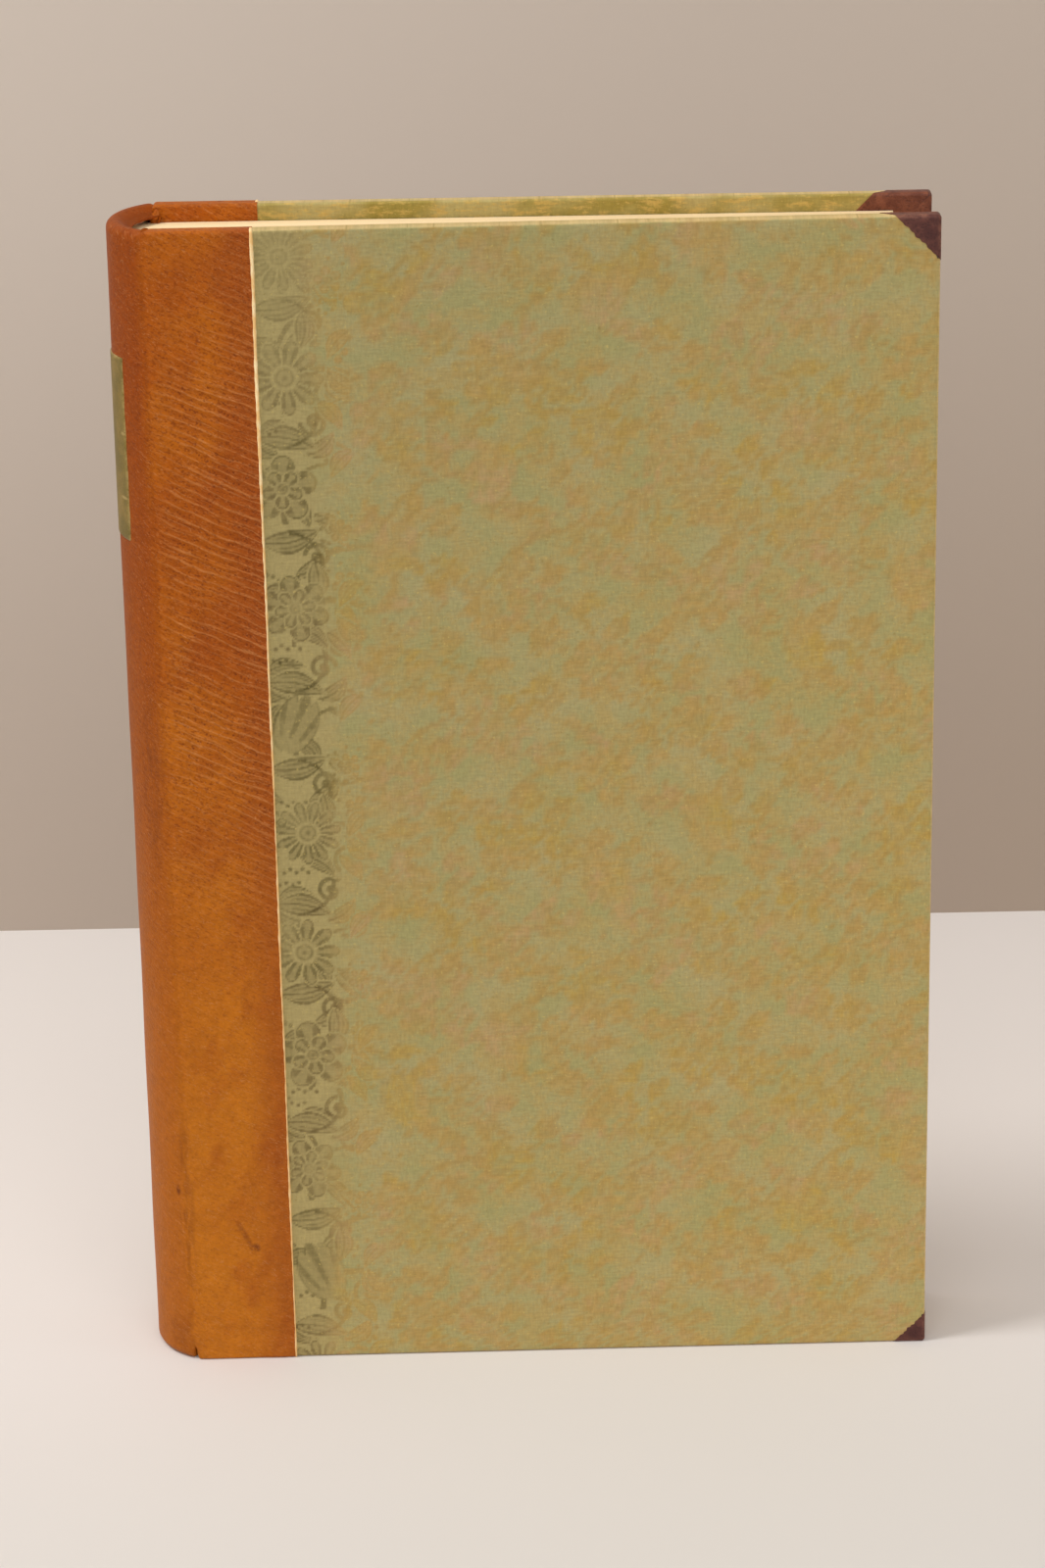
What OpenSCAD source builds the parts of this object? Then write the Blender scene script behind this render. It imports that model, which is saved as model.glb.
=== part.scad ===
// A hardcover book in a half leather binding, closed and standing on its tail edge.
// X runs from the spine to the fore-edge, Y from the front cover to the back cover, Z from tail to head.
// The origin is under the middle of the book, on the surface that it stands on.
// Each cover turns about the line of its joint, at the outside of the leather.

/* [Boards] */
// Height of each bare board, from tail to head
board_h = 219.2; // [150:0.1:320]
// Width of each bare board, from its spine edge to its fore-edge
board_w = 139; // [90:0.5:240]
// Thickness of each board
board_t = 2.4; // [1.4:0.1:4]
// Gap between the spine edge of a board and the shoulder of the pages
joint_gap = 1; // [0.8:0.1:3]
// Radius of the free corners of a board
board_corner_r = 1.2; // [0.4:0.1:5]
// Angle by which each closed cover leans in from its joint to its fore-edge
lean = 0.7; // [0:0.1:1.2]

/* [Pages] */
// Thickness of the pages at the shoulders, between the free endleaves
pages_t = 17.2; // [12:0.1:60]
// Distance from the head or tail of the pages to the edge of the covers
head_square = 3.1; // [2.4:0.1:6]
// Distance from the fore-edge of the pages to the edge of the covers
fore_square = 7; // [3:0.1:12]
// Depth of the hollow in the fore-edge of the pages
fore_hollow = 3; // [0.5:0.1:3.8]
// Flat margin on each side of the hollow fore-edge
fore_flat = 0.3; // [0.1:0.1:1]
// Thickness of each free endleaf
flyleaf_t = 0.15; // [0.1:0.05:0.4]
// Clear space between a closed cover and its free endleaf
closed_gap = 0.1; // [0.1:0.05:0.5]

/* [Sewing] */
// Diameter of the linen cords sunk into the back of the pages
support_d = 1.4; // [0.8:0.1:2.4]
// Clear space around a sunk cord in its sawn groove
support_gap = 0.1; // [0.05:0.05:0.3]
// Distance from each end of the pages to the outermost cord
support_margin = 28; // [15:1:50]
// Length of the fanned cord ends on each board
cord_end_l = 14; // [6:0.5:20]
// Width of the fanned cord ends on each board
cord_end_w = 9; // [4:0.5:16]
// Thickness of the fanned cord ends on each board
cord_end_t = 0.4; // [0.2:0.05:0.8]
// Clear space around the cord ends in their recess
cord_end_gap = 0.1; // [0.05:0.05:0.5]

/* [Spine] */
// Height of the rounded spine over the shoulder of the pages
spine_round = 6.8; // [4:0.1:9]
// Distance from the edge of the spine leather to the plane of a cover's face
spine_step = 0.3; // [0.3:0.05:0.8]
// Thickness of the cloth lining on the back of the pages
lining_t = 0.3; // [0.15:0.05:0.6]
// Distance from each end of the pages to the end of the lining
lining_margin = 12; // [5:0.5:25]
// Thickness of the hollow paper tube between the lining and the leather
tube_t = 0.4; // [0.2:0.05:1]
// Thickness of the turned leather caps at the head and tail of the spine
cap_t = 1.2; // [0.7:0.05:1.6]
// Radius of the outer rim of the caps
cap_rim_r = 1.5; // [0.4:0.1:2]
// Clear space between an endband and the cap over it
endband_gap = 0.1; // [0.05:0.05:0.4]
// Distance from an endband to the back of the pages
endband_inset = 0.3; // [0:0.1:1]

/* [Spine label] */
// Height of the label
label_h = 34; // [15:0.5:60]
// Width of the label, measured round the spine
label_w = 17.4; // [8:0.1:25]
// Thickness of the label
label_t = 0.25; // [0.1:0.05:0.5]
// Distance from the head of the spine to the label
label_drop = 23.5; // [8:0.5:50]

/* [Covering] */
// Thickness of the leather on the spine and the faces of the boards
leather_t = 0.6; // [0.5:0.05:1.2]
// Thickness of the pared leather on the edges, turn-ins and corners
pared_t = 0.4; // [0.3:0.05:0.5]
// Thickness of the printed paper
paper_t = 0.3; // [0.3:0.05:0.4]
// Width of the leather on each board, from the board's spine edge to the seam
leather_w = 18.2; // [15:0.1:40]
// Clear space between the leather of a cover and the line that the cover turns about
hinge_gap = 0.3; // [0.25:0.05:0.4]
// Width of the pale line over the seam
line_w = 0.8; // [0.4:0.1:2]
// Height of the pale line over the leather
line_rise = 0.05; // [0.05:0.05:0.2]
// Leg of the leather corner at the head, on the face of a cover
head_corner = 8.1; // [4:0.1:30]
// Leg of the leather corner at the tail, on the face of a cover
tail_corner = 6.1; // [4:0.1:30]
// Width of the covering that is turned in behind a board
turn_w = 12; // [8:0.5:20]
// Rounding of the covering along the edges of a board
edge_r = 0.6; // [0.2:0.05:0.9]
// Clear space between the turn-ins and the card that fills in between them
infill_gap = 0.3; // [0.1:0.1:1]
// Thickness of the endpaper glued inside a cover
pastedown_t = 0.15; // [0.1:0.05:0.4]
// Distance from the edges of a cover to its glued endpaper
pastedown_square = 3.5; // [2:0.1:7]

/* [Hidden] */

// Number of sewing cords
SUPPORTS = 4;
// Sides of a full circle
$fn = 96;
// Length by which a cutting form reaches past what it cuts
OVER = 5;

// Colours of the pieces
PAGE_COLOUR = [0.93, 0.86, 0.72];
ENDPAPER_COLOUR = [0.9, 0.84, 0.72];
SILK_COLOUR = [0.85, 0.68, 0.56];
LINEN_COLOUR = [0.8, 0.74, 0.62];
KRAFT_COLOUR = [0.62, 0.48, 0.33];
BOARD_COLOUR = [0.52, 0.49, 0.44];
LEATHER_COLOUR = [0.69, 0.41, 0.18];
CORNER_COLOUR = [0.38, 0.23, 0.19];
LABEL_COLOUR = [0.38, 0.37, 0.16];
PAPER_COLOUR = [0.63, 0.58, 0.38];
LINE_COLOUR = [0.94, 0.85, 0.6];

// Overall size of the closed book
book_h = board_h + 2 * pared_t;
book_w = label_t + spine_round + (joint_gap + board_w + pared_t) * cos(lean);
half_t = pages_t / 2 + flyleaf_t + closed_gap + pastedown_t + pared_t + board_t + leather_t;

// Places along X from the shoulder of the pages to the fore-edge, along a cover before it leans
shoulder_x = label_t + spine_round - book_w / 2;
hinge_x = shoulder_x + joint_gap / 2;
board_x0 = shoulder_x + joint_gap;
board_x1 = board_x0 + board_w;
cover_x1 = board_x1 + pared_t;
side_x0 = hinge_x + hinge_gap;
seam_x = board_x0 + leather_w;
pages_x1 = cover_x1 - fore_square;

// Places along Y of the front board's two faces before it leans
board_y0 = leather_t - half_t;
board_y1 = board_y0 + board_t;

// Places along Z
board_z0 = pared_t;
board_z1 = pared_t + board_h;
pages_z0 = head_square;
pages_z1 = book_h - head_square;
support_step = (pages_z1 - pages_z0 - 2 * support_margin) / (SUPPORTS - 1);

// The spine is an arc through its crown and through the edge of the leather at each shoulder
spine_edge_y = half_t - spine_step;
spine_r = (pow(spine_edge_y, 2) + pow(spine_round, 2)) / (2 * spine_round);
spine_x = shoulder_x - spine_round + spine_r;
tube_r = spine_r - leather_t;
lining_r = tube_r - tube_t;
back_r = lining_r - lining_t;

// The pages taper between the two leaning covers
page_front = [lean_point(shoulder_x, -pages_t / 2), lean_point(pages_x1, -pages_t / 2)];
page_back = [for (i = [1, 0]) [page_front[i][0], -page_front[i][1]]];
fore_x = page_front[1][0];

// The hollow fore-edge is an arc between its two flat margins
fore_half = -page_front[1][1] - fore_flat;
fore_r = (pow(fore_half, 2) + pow(fore_hollow, 2)) / (2 * fore_hollow);

// An endband fills the height between the pages and the cap
endband_d = head_square - cap_t - endband_gap;
endband_r = back_r - endband_inset - endband_d / 2;
endband_a = asin(min(1, pages_t / 2 / endband_r));

// The grooves run out at the shoulders and the cords stop just inside them
support_r = back_r - support_d / 2 - support_gap;
support_a = acos((spine_x - shoulder_x + support_gap) / support_r);
groove_w = support_d + 2 * support_gap;

// Half of the angle that the label takes up round the spine
label_a = label_w / 2 / spine_r * 180 / PI;

// A point of the front cover after it leans in about the shoulder, at the outside of the leather
function lean_point(x, y) = [
    shoulder_x + (x - shoulder_x) * cos(lean) - (y + half_t) * sin(lean),
    -half_t + (x - shoulder_x) * sin(lean) + (y + half_t) * cos(lean)
];

function support_z(i) = pages_z0 + support_margin + (i - 1) * support_step;

// A box between two corners
module slab(x0, x1, y0, y1, z0, z1) {
    translate([x0, y0, z0]) cube([x1 - x0, y1 - y0, z1 - z0]);
}

// Leans a piece of the front cover in, as lean_point does
module lean_in() {
    translate([shoulder_x, -half_t, 0]) rotate([0, 0, lean]) translate([-shoulder_x, half_t, 0]) children();
}

// Everything on the spine side of the shoulders
module spine_side() {
    slab(shoulder_x - spine_round - OVER, shoulder_x, -half_t - OVER, half_t + OVER, -OVER, book_h + OVER);
}

// An arc of a ring round the axis of the spine, with the 2D children as its section
module round_spine(half_angle) {
    translate([spine_x, 0, 0]) rotate([0, 0, 180 - half_angle])
        rotate_extrude(angle = 2 * half_angle) children();
}

// A wall that follows the back between two radii
module back_wall(r0, r1, z0, z1) {
    intersection() {
        translate([spine_x, 0, z0]) linear_extrude(z1 - z0) difference() {
            circle(r = r1);
            circle(r = r0);
        }
        spine_side();
    }
}

module pages_plan() {
    difference() {
        union() {
            polygon(concat(page_front, page_back));
            intersection() {
                translate([spine_x, 0]) circle(r = back_r);
                translate([shoulder_x - 2 * back_r, -back_r]) square([2 * back_r, 2 * back_r]);
            }
        }
        translate([fore_x - fore_hollow + fore_r, 0]) circle(r = fore_r);
    }
}

module text_block() {
    color(PAGE_COLOUR) difference() {
        translate([0, 0, pages_z0]) linear_extrude(pages_z1 - pages_z0) pages_plan();
        for (i = [1 : SUPPORTS])
            translate([0, 0, support_z(i)]) round_spine(support_a + OVER)
                translate([back_r - groove_w, -groove_w / 2]) square([groove_w + OVER, groove_w]);
    }
}

// The front free endleaf
module flyleaf() {
    color(ENDPAPER_COLOUR) lean_in()
        slab(shoulder_x + 2 * flyleaf_t, pages_x1, -pages_t / 2 - flyleaf_t, -pages_t / 2,
            pages_z0, pages_z1);
}

module endband(z) {
    color(SILK_COLOUR) translate([0, 0, z]) round_spine(endband_a)
        translate([endband_r, 0]) circle(d = endband_d);
}

module sewing_support(i) {
    color(LINEN_COLOUR) translate([0, 0, support_z(i)]) round_spine(support_a)
        translate([support_r, 0]) circle(d = support_d);
}

module spine_lining() {
    color(LINEN_COLOUR) back_wall(back_r, lining_r, pages_z0 + lining_margin, pages_z1 - lining_margin);
}

module hollow_tube() {
    color(KRAFT_COLOUR) back_wall(lining_r, tube_r, pages_z0, pages_z1);
}

// Half of the section of a round can with rounded rims, from its axis outwards
module can_section(r, h, rim) {
    square([r - rim, h]);
    translate([0, rim]) square([r, h - 2 * rim]);
    for (z = [rim, h - rim])
        translate([r - rim, z]) circle(r = rim);
}

// The leather over the back, with a flat cap over each end of the spine
module spine_leather() {
    color(LEATHER_COLOUR) intersection() {
        translate([spine_x, 0, 0]) rotate_extrude() difference() {
            can_section(spine_r, book_h, cap_rim_r);
            translate([0, cap_t]) square([tube_r, book_h - 2 * cap_t]);
        }
        spine_side();
    }
}

module spine_label() {
    color(LABEL_COLOUR) translate([0, 0, book_h - label_drop - label_h]) round_spine(label_a)
        translate([spine_r, 0]) square([label_t, label_h]);
}

// An upright plate with its two fore-edge corners rounded
module corner_plate(x0, x1, y0, y1, z0, z1, r) {
    translate([0, y1, 0]) rotate([90, 0, 0]) linear_extrude(y1 - y0) {
        translate([x0, z0]) square([x1 - r - x0, z1 - z0]);
        translate([x0, z0 + r]) square([x1 - x0, z1 - z0 - 2 * r]);
        for (z = [z0 + r, z1 - r])
            translate([x1 - r, z]) circle(r = r);
    }
}

// A rectangle with rounded corners
module soft_rect(x0, x1, y0, y1, r) {
    translate([x0 + r, y0]) square([x1 - x0 - 2 * r, y1 - y0]);
    translate([x0, y0 + r]) square([x1 - x0, y1 - y0 - 2 * r]);
    for (x = [x0 + r, x1 - r], y = [y0 + r, y1 - r])
        translate([x, y]) circle(r = r);
}

// The front board without its recesses
module bare_board() {
    corner_plate(board_x0, board_x1, board_y0, board_y1, board_z0, board_z1, board_corner_r);
}

// The outside of a covering of one thickness on the face and another on the edges and turn-ins
module cover_form(face_t, edge_t) {
    y0 = board_y0 - face_t;
    y1 = board_y1 + edge_t;
    x1 = board_x1 + edge_t;
    z0 = board_z0 - edge_t;
    z1 = board_z1 + edge_t;
    intersection() {
        corner_plate(side_x0, x1, y0, y1, z0, z1, board_corner_r + edge_t);
        translate([side_x0, 0, 0]) rotate([90, 0, 90]) linear_extrude(x1 - side_x0)
            soft_rect(y0, y1, z0, z1, edge_r);
        translate([0, 0, z0]) linear_extrude(z1 - z0) soft_rect(side_x0 - OVER, x1, y0, y1, edge_r);
    }
}

// The covering as a shell: the board and the open middle of the inside are taken out
module cover_shell(face_t, edge_t) {
    difference() {
        cover_form(face_t, edge_t);
        bare_board();
        slab(side_x0 - OVER, board_x0, board_y0, board_y1 + OVER, -OVER, book_h + OVER);
        slab(side_x0 - OVER, board_x1 - turn_w, board_y1 - board_t / 2, board_y1 + OVER,
            board_z0 + turn_w, board_z1 - turn_w);
    }
}

// The space of a leather corner at the head: a triangle on the face, and on the inside the two
// turned flaps, whose slanted ends run on from the fold. They meet halfway across the edges.
module head_corner_space(leg) {
    flap = leg + board_t;
    deep = turn_w + pared_t;
    reach = board_t / 2 + OVER;
    translate([cover_x1, board_y0 + board_t / 2, book_h]) rotate([90, 0, 0]) linear_extrude(reach)
        polygon([[OVER, OVER], [-leg, OVER], [-leg, 0], [0, -leg], [OVER, -leg]]);
    translate([cover_x1, board_y1 + OVER, book_h]) rotate([90, 0, 0]) linear_extrude(reach)
        polygon([
            [OVER, OVER], [-flap, OVER], [-flap, 0], [-flap - deep, -deep],
            [-deep, -deep], [-deep, -flap - deep], [0, -flap], [OVER, -flap]
        ]);
}

module tail_corner_space(leg) {
    translate([0, 0, book_h]) mirror([0, 0, 1]) head_corner_space(leg);
}

module board() {
    color(BOARD_COLOUR) lean_in() difference() {
        bare_board();
        for (i = [1 : SUPPORTS])
            slab(board_x0 - OVER, board_x0 + cord_end_l + cord_end_gap,
                board_y0 - OVER, board_y0 + cord_end_t,
                support_z(i) - cord_end_w / 2 - cord_end_gap, support_z(i) + cord_end_w / 2 + cord_end_gap);
    }
}

module cord_ends() {
    color(LINEN_COLOUR) lean_in()
        for (i = [1 : SUPPORTS])
            slab(board_x0, board_x0 + cord_end_l, board_y0, board_y0 + cord_end_t,
                support_z(i) - cord_end_w / 2, support_z(i) + cord_end_w / 2);
}

module side_leather() {
    color(LEATHER_COLOUR) lean_in() intersection() {
        cover_shell(leather_t, pared_t);
        slab(side_x0, seam_x, -half_t - OVER, 0, -OVER, book_h + OVER);
    }
}

module edge_line() {
    color(LINE_COLOUR) lean_in() intersection() {
        cover_shell(leather_t + line_rise, pared_t);
        slab(seam_x, seam_x + line_w, -half_t - OVER, 0, -OVER, book_h + OVER);
    }
}

module side_paper() {
    color(PAPER_COLOUR) lean_in() difference() {
        cover_shell(paper_t, paper_t);
        slab(side_x0 - OVER, seam_x + line_w, -half_t - OVER, 0, -OVER, book_h + OVER);
        head_corner_space(head_corner);
        tail_corner_space(tail_corner);
    }
}

module head_corner_leather() {
    color(CORNER_COLOUR) lean_in() intersection() {
        cover_shell(pared_t, pared_t);
        head_corner_space(head_corner);
    }
}

module tail_corner_leather() {
    color(CORNER_COLOUR) lean_in() intersection() {
        cover_shell(pared_t, pared_t);
        tail_corner_space(tail_corner);
    }
}

module infill() {
    color(BOARD_COLOUR) lean_in()
        slab(board_x0, board_x1 - turn_w - infill_gap, board_y1, board_y1 + pared_t,
            board_z0 + turn_w + infill_gap, board_z1 - turn_w - infill_gap);
}

module pastedown() {
    color(ENDPAPER_COLOUR) lean_in()
        slab(board_x0, cover_x1 - pastedown_square, board_y1 + pared_t, board_y1 + pared_t + pastedown_t,
            pastedown_square, book_h - pastedown_square);
}

// The back cover is the front cover seen in a mirror
module back() {
    mirror([0, 1, 0]) children();
}

text_block();
flyleaf();  // front_flyleaf
back() flyleaf();  // back_flyleaf
endband(pages_z1 + endband_d / 2);  // head_endband
endband(pages_z0 - endband_d / 2);  // tail_endband
sewing_support(1);  // sewing_support_1
sewing_support(2);  // sewing_support_2
sewing_support(3);  // sewing_support_3
sewing_support(4);  // sewing_support_4
spine_lining();
hollow_tube();
spine_leather();
spine_label();
board();  // front_board
cord_ends();  // front_cord_ends
side_leather();  // front_side_leather
edge_line();  // front_edge_line
side_paper();  // front_side_paper
head_corner_leather();  // front_head_corner
tail_corner_leather();  // front_tail_corner
infill();  // front_infill
pastedown();  // front_pastedown
back() board();  // back_board
back() cord_ends();  // back_cord_ends
back() side_leather();  // back_side_leather
back() edge_line();  // back_edge_line
back() side_paper();  // back_side_paper
back() head_corner_leather();  // back_head_corner
back() tail_corner_leather();  // back_tail_corner
back() infill();  // back_infill
back() pastedown();  // back_pastedown
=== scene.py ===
"""A half-leather hardcover book: its coverings, caps, label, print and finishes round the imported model.

Lengths in this file are in millimetres unless a name says otherwise, and turn into metres where a
mesh is made. X runs from the spine to the fore-edge, Y from the front cover to the back, Z from tail
to head.
"""
import math

import bmesh
import bpy
import numpy as np
from mathutils import Matrix, Vector


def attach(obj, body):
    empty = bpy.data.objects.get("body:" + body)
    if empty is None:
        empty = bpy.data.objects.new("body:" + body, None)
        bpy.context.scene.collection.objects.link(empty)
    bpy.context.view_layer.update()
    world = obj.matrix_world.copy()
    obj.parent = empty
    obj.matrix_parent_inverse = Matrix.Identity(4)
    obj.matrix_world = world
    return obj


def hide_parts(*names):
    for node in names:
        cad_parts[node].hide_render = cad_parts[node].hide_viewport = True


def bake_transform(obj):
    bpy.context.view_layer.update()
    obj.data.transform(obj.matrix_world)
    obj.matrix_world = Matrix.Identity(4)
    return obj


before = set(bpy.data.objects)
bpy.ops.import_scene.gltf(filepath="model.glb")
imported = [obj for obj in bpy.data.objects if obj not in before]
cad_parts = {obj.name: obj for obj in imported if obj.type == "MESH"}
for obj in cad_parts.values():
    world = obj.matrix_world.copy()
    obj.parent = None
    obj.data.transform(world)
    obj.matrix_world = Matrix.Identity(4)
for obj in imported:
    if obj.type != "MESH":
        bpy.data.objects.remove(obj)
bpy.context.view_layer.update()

MM = 0.001
BOOK_H = 220.0
MID_H = BOOK_H / 2
HALF_T = 12.4  # half the thickness at the joints
SHOULDER_X = -66.66976  # where the flat of the covers begins, and u, the distance past it, is 0
SPINE_ROUND = 6.8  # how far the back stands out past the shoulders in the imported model
SPINE_EDGE_Y = 12.1
SPINE_R = (SPINE_EDGE_Y ** 2 + SPINE_ROUND ** 2) / (2 * SPINE_ROUND)
SPINE_X = SHOULDER_X - SPINE_ROUND + SPINE_R
LEAN = math.radians(0.7)  # each cover leans in towards the fore-edge
JOINT_U = 0.5
BOARD_U = 1.0
SKIN_END_U = 19.8
STRIP_U = 36.0
FORE_U = 140.4
LEATHER_T = 0.6
BOARD_T = 2.4
PARED_T = 0.4
SKIN_T = 0.45
EDGE_R = 0.6
TURN_IN = 12.4
SHARP = math.radians(40)
FRONT, BACK = 1, -1


def smooth(x, lo, hi):
    """0 below lo, 1 above hi, and the cubic 3t^2 - 2t^3 between them."""
    t = np.clip((np.asarray(x, float) - lo) / (hi - lo), 0, 1)
    return t * t * (3 - 2 * t)


def bell(x, middle, width):
    """A Gaussian bump of height 1."""
    return np.exp(-(((np.asarray(x, float) - middle) / width) ** 2))


# ---------------------------------------------------------------- meshes


def grid_faces(rows, cols, start=0, flip=False):
    """The quads of a grid of points that is stored row by row."""
    i = np.arange(rows - 1)[:, None] * cols + np.arange(cols - 1)[None, :] + start
    quads = np.stack([i, i + 1, i + cols + 1, i + cols], -1).reshape(-1, 4)
    return quads[:, ::-1] if flip else quads


def grid_normals(points):
    """Unit normals of a grid: the cross product of its two directions of change."""
    along = np.gradient(points, axis=1)
    up = np.gradient(points, axis=0)
    n = np.cross(along, up)
    return n / np.maximum(np.linalg.norm(n, axis=2, keepdims=True), 1e-12)


def leaf_shell(outer, inner):
    """A closed sheet: the outer grid, the inner grid turned round, and a rim that joins their borders."""
    rows, cols = outer.shape[:2]
    count = rows * cols
    border = np.concatenate([
        np.arange(cols), np.arange(1, rows) * cols + cols - 1,
        (rows - 1) * cols + np.arange(cols - 2, -1, -1), np.arange(rows - 2, 0, -1) * cols,
    ])
    nxt = np.roll(border, -1)
    rim = np.stack([nxt, border, border + count, nxt + count], -1)
    faces = np.concatenate([grid_faces(rows, cols), grid_faces(rows, cols, count, True), rim])
    return np.concatenate([outer.reshape(-1, 3), inner.reshape(-1, 3)]), faces


def make_piece(name, parts, material, slot, sheet=None, extra=None, merge=False):
    """One mesh from (points, faces) parts. sheet gives each point's place on the flat sheet, for UV."""
    points = np.concatenate([p for p, _ in parts])
    starts = np.cumsum([0] + [len(p) for p, _ in parts[:-1]])
    faces = np.concatenate([f + s for (_, f), s in zip(parts, starts)])
    mesh = bpy.data.meshes.new(name)
    mesh.from_pydata((points * MM).tolist(), [], faces.tolist())
    for key, values in (extra or {}).items():
        layer = mesh.attributes.new(key, "FLOAT", "POINT")
        layer.data.foreach_set("value", np.asarray(values, np.float32))
    if sheet is not None:
        corner_points = np.zeros(len(mesh.loops), np.int32)
        mesh.loops.foreach_get("vertex_index", corner_points)
        layer = mesh.uv_layers.new(name="sheet")
        layer.data.foreach_set("uv", (np.asarray(sheet)[corner_points] * MM).astype(np.float32).ravel())
    mesh.polygons.foreach_set("use_smooth", np.ones(len(mesh.polygons), bool))
    if merge:
        bm = bmesh.new()
        bm.from_mesh(mesh)
        bmesh.ops.remove_doubles(bm, verts=bm.verts, dist=1e-7)
        bmesh.ops.recalc_face_normals(bm, faces=bm.faces)
        bm.to_mesh(mesh)
        bm.free()
    mesh.set_sharp_from_angle(angle=SHARP)
    mesh.materials.append(material)
    piece = bpy.data.objects.new(name, mesh)
    bpy.context.scene.collection.objects.link(piece)
    return piece


def sheet_piece(name, outer, inner, sheet, material, slot, side=FRONT, **more):
    """A closed sheet between an outer and an inner grid. The faces of one at the back turn round."""
    points, faces = leaf_shell(outer, inner)
    faces = faces if side == FRONT else faces[:, ::-1]
    flat = np.concatenate([sheet.reshape(-1, 2)] * 2)
    return make_piece(name, [(points, faces)], material, slot, flat, **more)


# ---------------------------------------------------------------- the shape of the covering


def plan_of_leather():
    """The outside of the leather seen from above, for the front half: the arc of the spine from its
    crown, then the straight line of the leaning cover, rounded off where they meet by a Gaussian
    blur along the line. Returns distances s along it, x, y, and the inward normal."""
    step, blur = 0.05, 0.42
    turn = math.asin(SPINE_EDGE_Y / SPINE_R)
    a = np.arange(0, turn, step / SPINE_R)
    u = np.arange(0, 150, step)
    x = np.concatenate([SPINE_X - SPINE_R * np.cos(a), SHOULDER_X + u * math.cos(LEAN)])
    y = np.concatenate([-SPINE_R * np.sin(a), -HALF_T + u * math.sin(LEAN)])
    half = int(4 * blur / step)
    k = np.exp(-0.5 * (np.arange(-half, half + 1) * step / blur) ** 2)
    k /= k.sum()
    xp = np.concatenate([x[half:0:-1], x, 2 * x[-1] - x[-2:-half - 2:-1]])
    yp = np.concatenate([-y[half:0:-1], y, 2 * y[-1] - y[-2:-half - 2:-1]])
    x, y = np.convolve(xp, k, "valid"), np.convolve(yp, k, "valid")
    s = np.concatenate([[0], np.cumsum(np.hypot(np.diff(x), np.diff(y)))])
    tx, ty = np.gradient(x, s), np.gradient(y, s)
    return s, x, y, -ty, tx


PLAN_S, PLAN_X, PLAN_Y, PLAN_NX, PLAN_NY = plan_of_leather()


def s_at(u):
    """Distance along the leather, from the crown of the spine, to a distance u past the shoulder."""
    return float(np.interp(SHOULDER_X + u * math.cos(LEAN), PLAN_X, PLAN_S))


S_SHOULDER, S_JOINT, S_BOARD, S_SKIN_END = s_at(0), s_at(JOINT_U), s_at(BOARD_U), s_at(SKIN_END_U)


def spine_bulge(z):
    """The back stands out a little more at the tail than at the head: 7.3 mm down to 6.6 mm."""
    return 7.3 - 0.7 * np.clip(z / BOOK_H, 0, 1)


def on_leather(s, z, depth):
    """The point at a signed distance s round the back (front half positive), at a height and depth."""
    q = np.abs(s)
    x = np.interp(q, PLAN_S, PLAN_X)
    y = np.interp(q, PLAN_S, PLAN_Y)
    x = np.where(x < SHOULDER_X, SHOULDER_X + (x - SHOULDER_X) * spine_bulge(z) / SPINE_ROUND, x)
    x = x + depth * np.interp(q, PLAN_S, PLAN_NX)
    y = y + depth * np.interp(q, PLAN_S, PLAN_NY)
    return np.stack([x, np.where(s < 0, -y, y), z + 0 * x], -1)


def on_cover(u, z, depth, side):
    """The point of a leaning cover at a distance u from the shoulder, at a height and depth."""
    x = SHOULDER_X + u * math.cos(LEAN) - depth * math.sin(LEAN)
    y = -HALF_T + u * math.sin(LEAN) + depth * math.cos(LEAN)
    return np.stack([x, y * side, z + 0 * x], -1)


def turned_over_board(thick=LEATHER_T + BOARD_T + PARED_T, rim=EDGE_R, turn_in=TURN_IN, skin=0.0):
    """How a covering goes over the edge of a board: a quarter round, a flat, a quarter round, and the
    part turned in behind. Returns drop below the edge and depth, both from the outside of the face.
    skin gives the same path that far inside the covering."""
    thick, rim = thick - 2 * skin, max(rim - skin, 0.1)
    a = np.linspace(0, math.pi / 2, 6)
    flat = np.linspace(rim, thick - rim, 6)[1:-1]
    tail = np.linspace(rim, turn_in - skin, 7)[1:]
    drop = np.concatenate([rim * (1 - np.sin(a)), 0 * flat, rim * (1 - np.cos(a)), tail])
    depth = np.concatenate([rim * (1 - np.cos(a)), flat, thick - rim + rim * np.sin(a), thick + 0 * tail])
    return drop + skin, depth + skin


def turned_over_band():
    """How the leather makes a cap over an endband: a round outside, a soft ridge, and an apron that
    slopes down inwards over the band, with as many points as turned_over_board gives."""
    a = np.linspace(0, math.pi / 2, 6)
    ridge = np.linspace(1.5, 2.1, 6)[1:-1]
    t = np.linspace(0, 1, 13)[1:]
    drop = np.concatenate([1.5 * (1 - np.sin(a)), 0.02 + 0 * ridge, 0.02 + 1.7 * smooth(t, -0.15, 1.1)])
    depth = np.concatenate([1.5 * (1 - np.cos(a)), ridge, 2.1 + 2.5 * t])
    return drop, depth


def spread(*spans):
    """Places along a line, from (start, end, step) spans that follow each other."""
    parts = [np.linspace(a, b, max(2, int(round((b - a) / h)) + 1))[:-1] for a, b, h in spans]
    return np.concatenate(parts + [[spans[-1][1]]])


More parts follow.
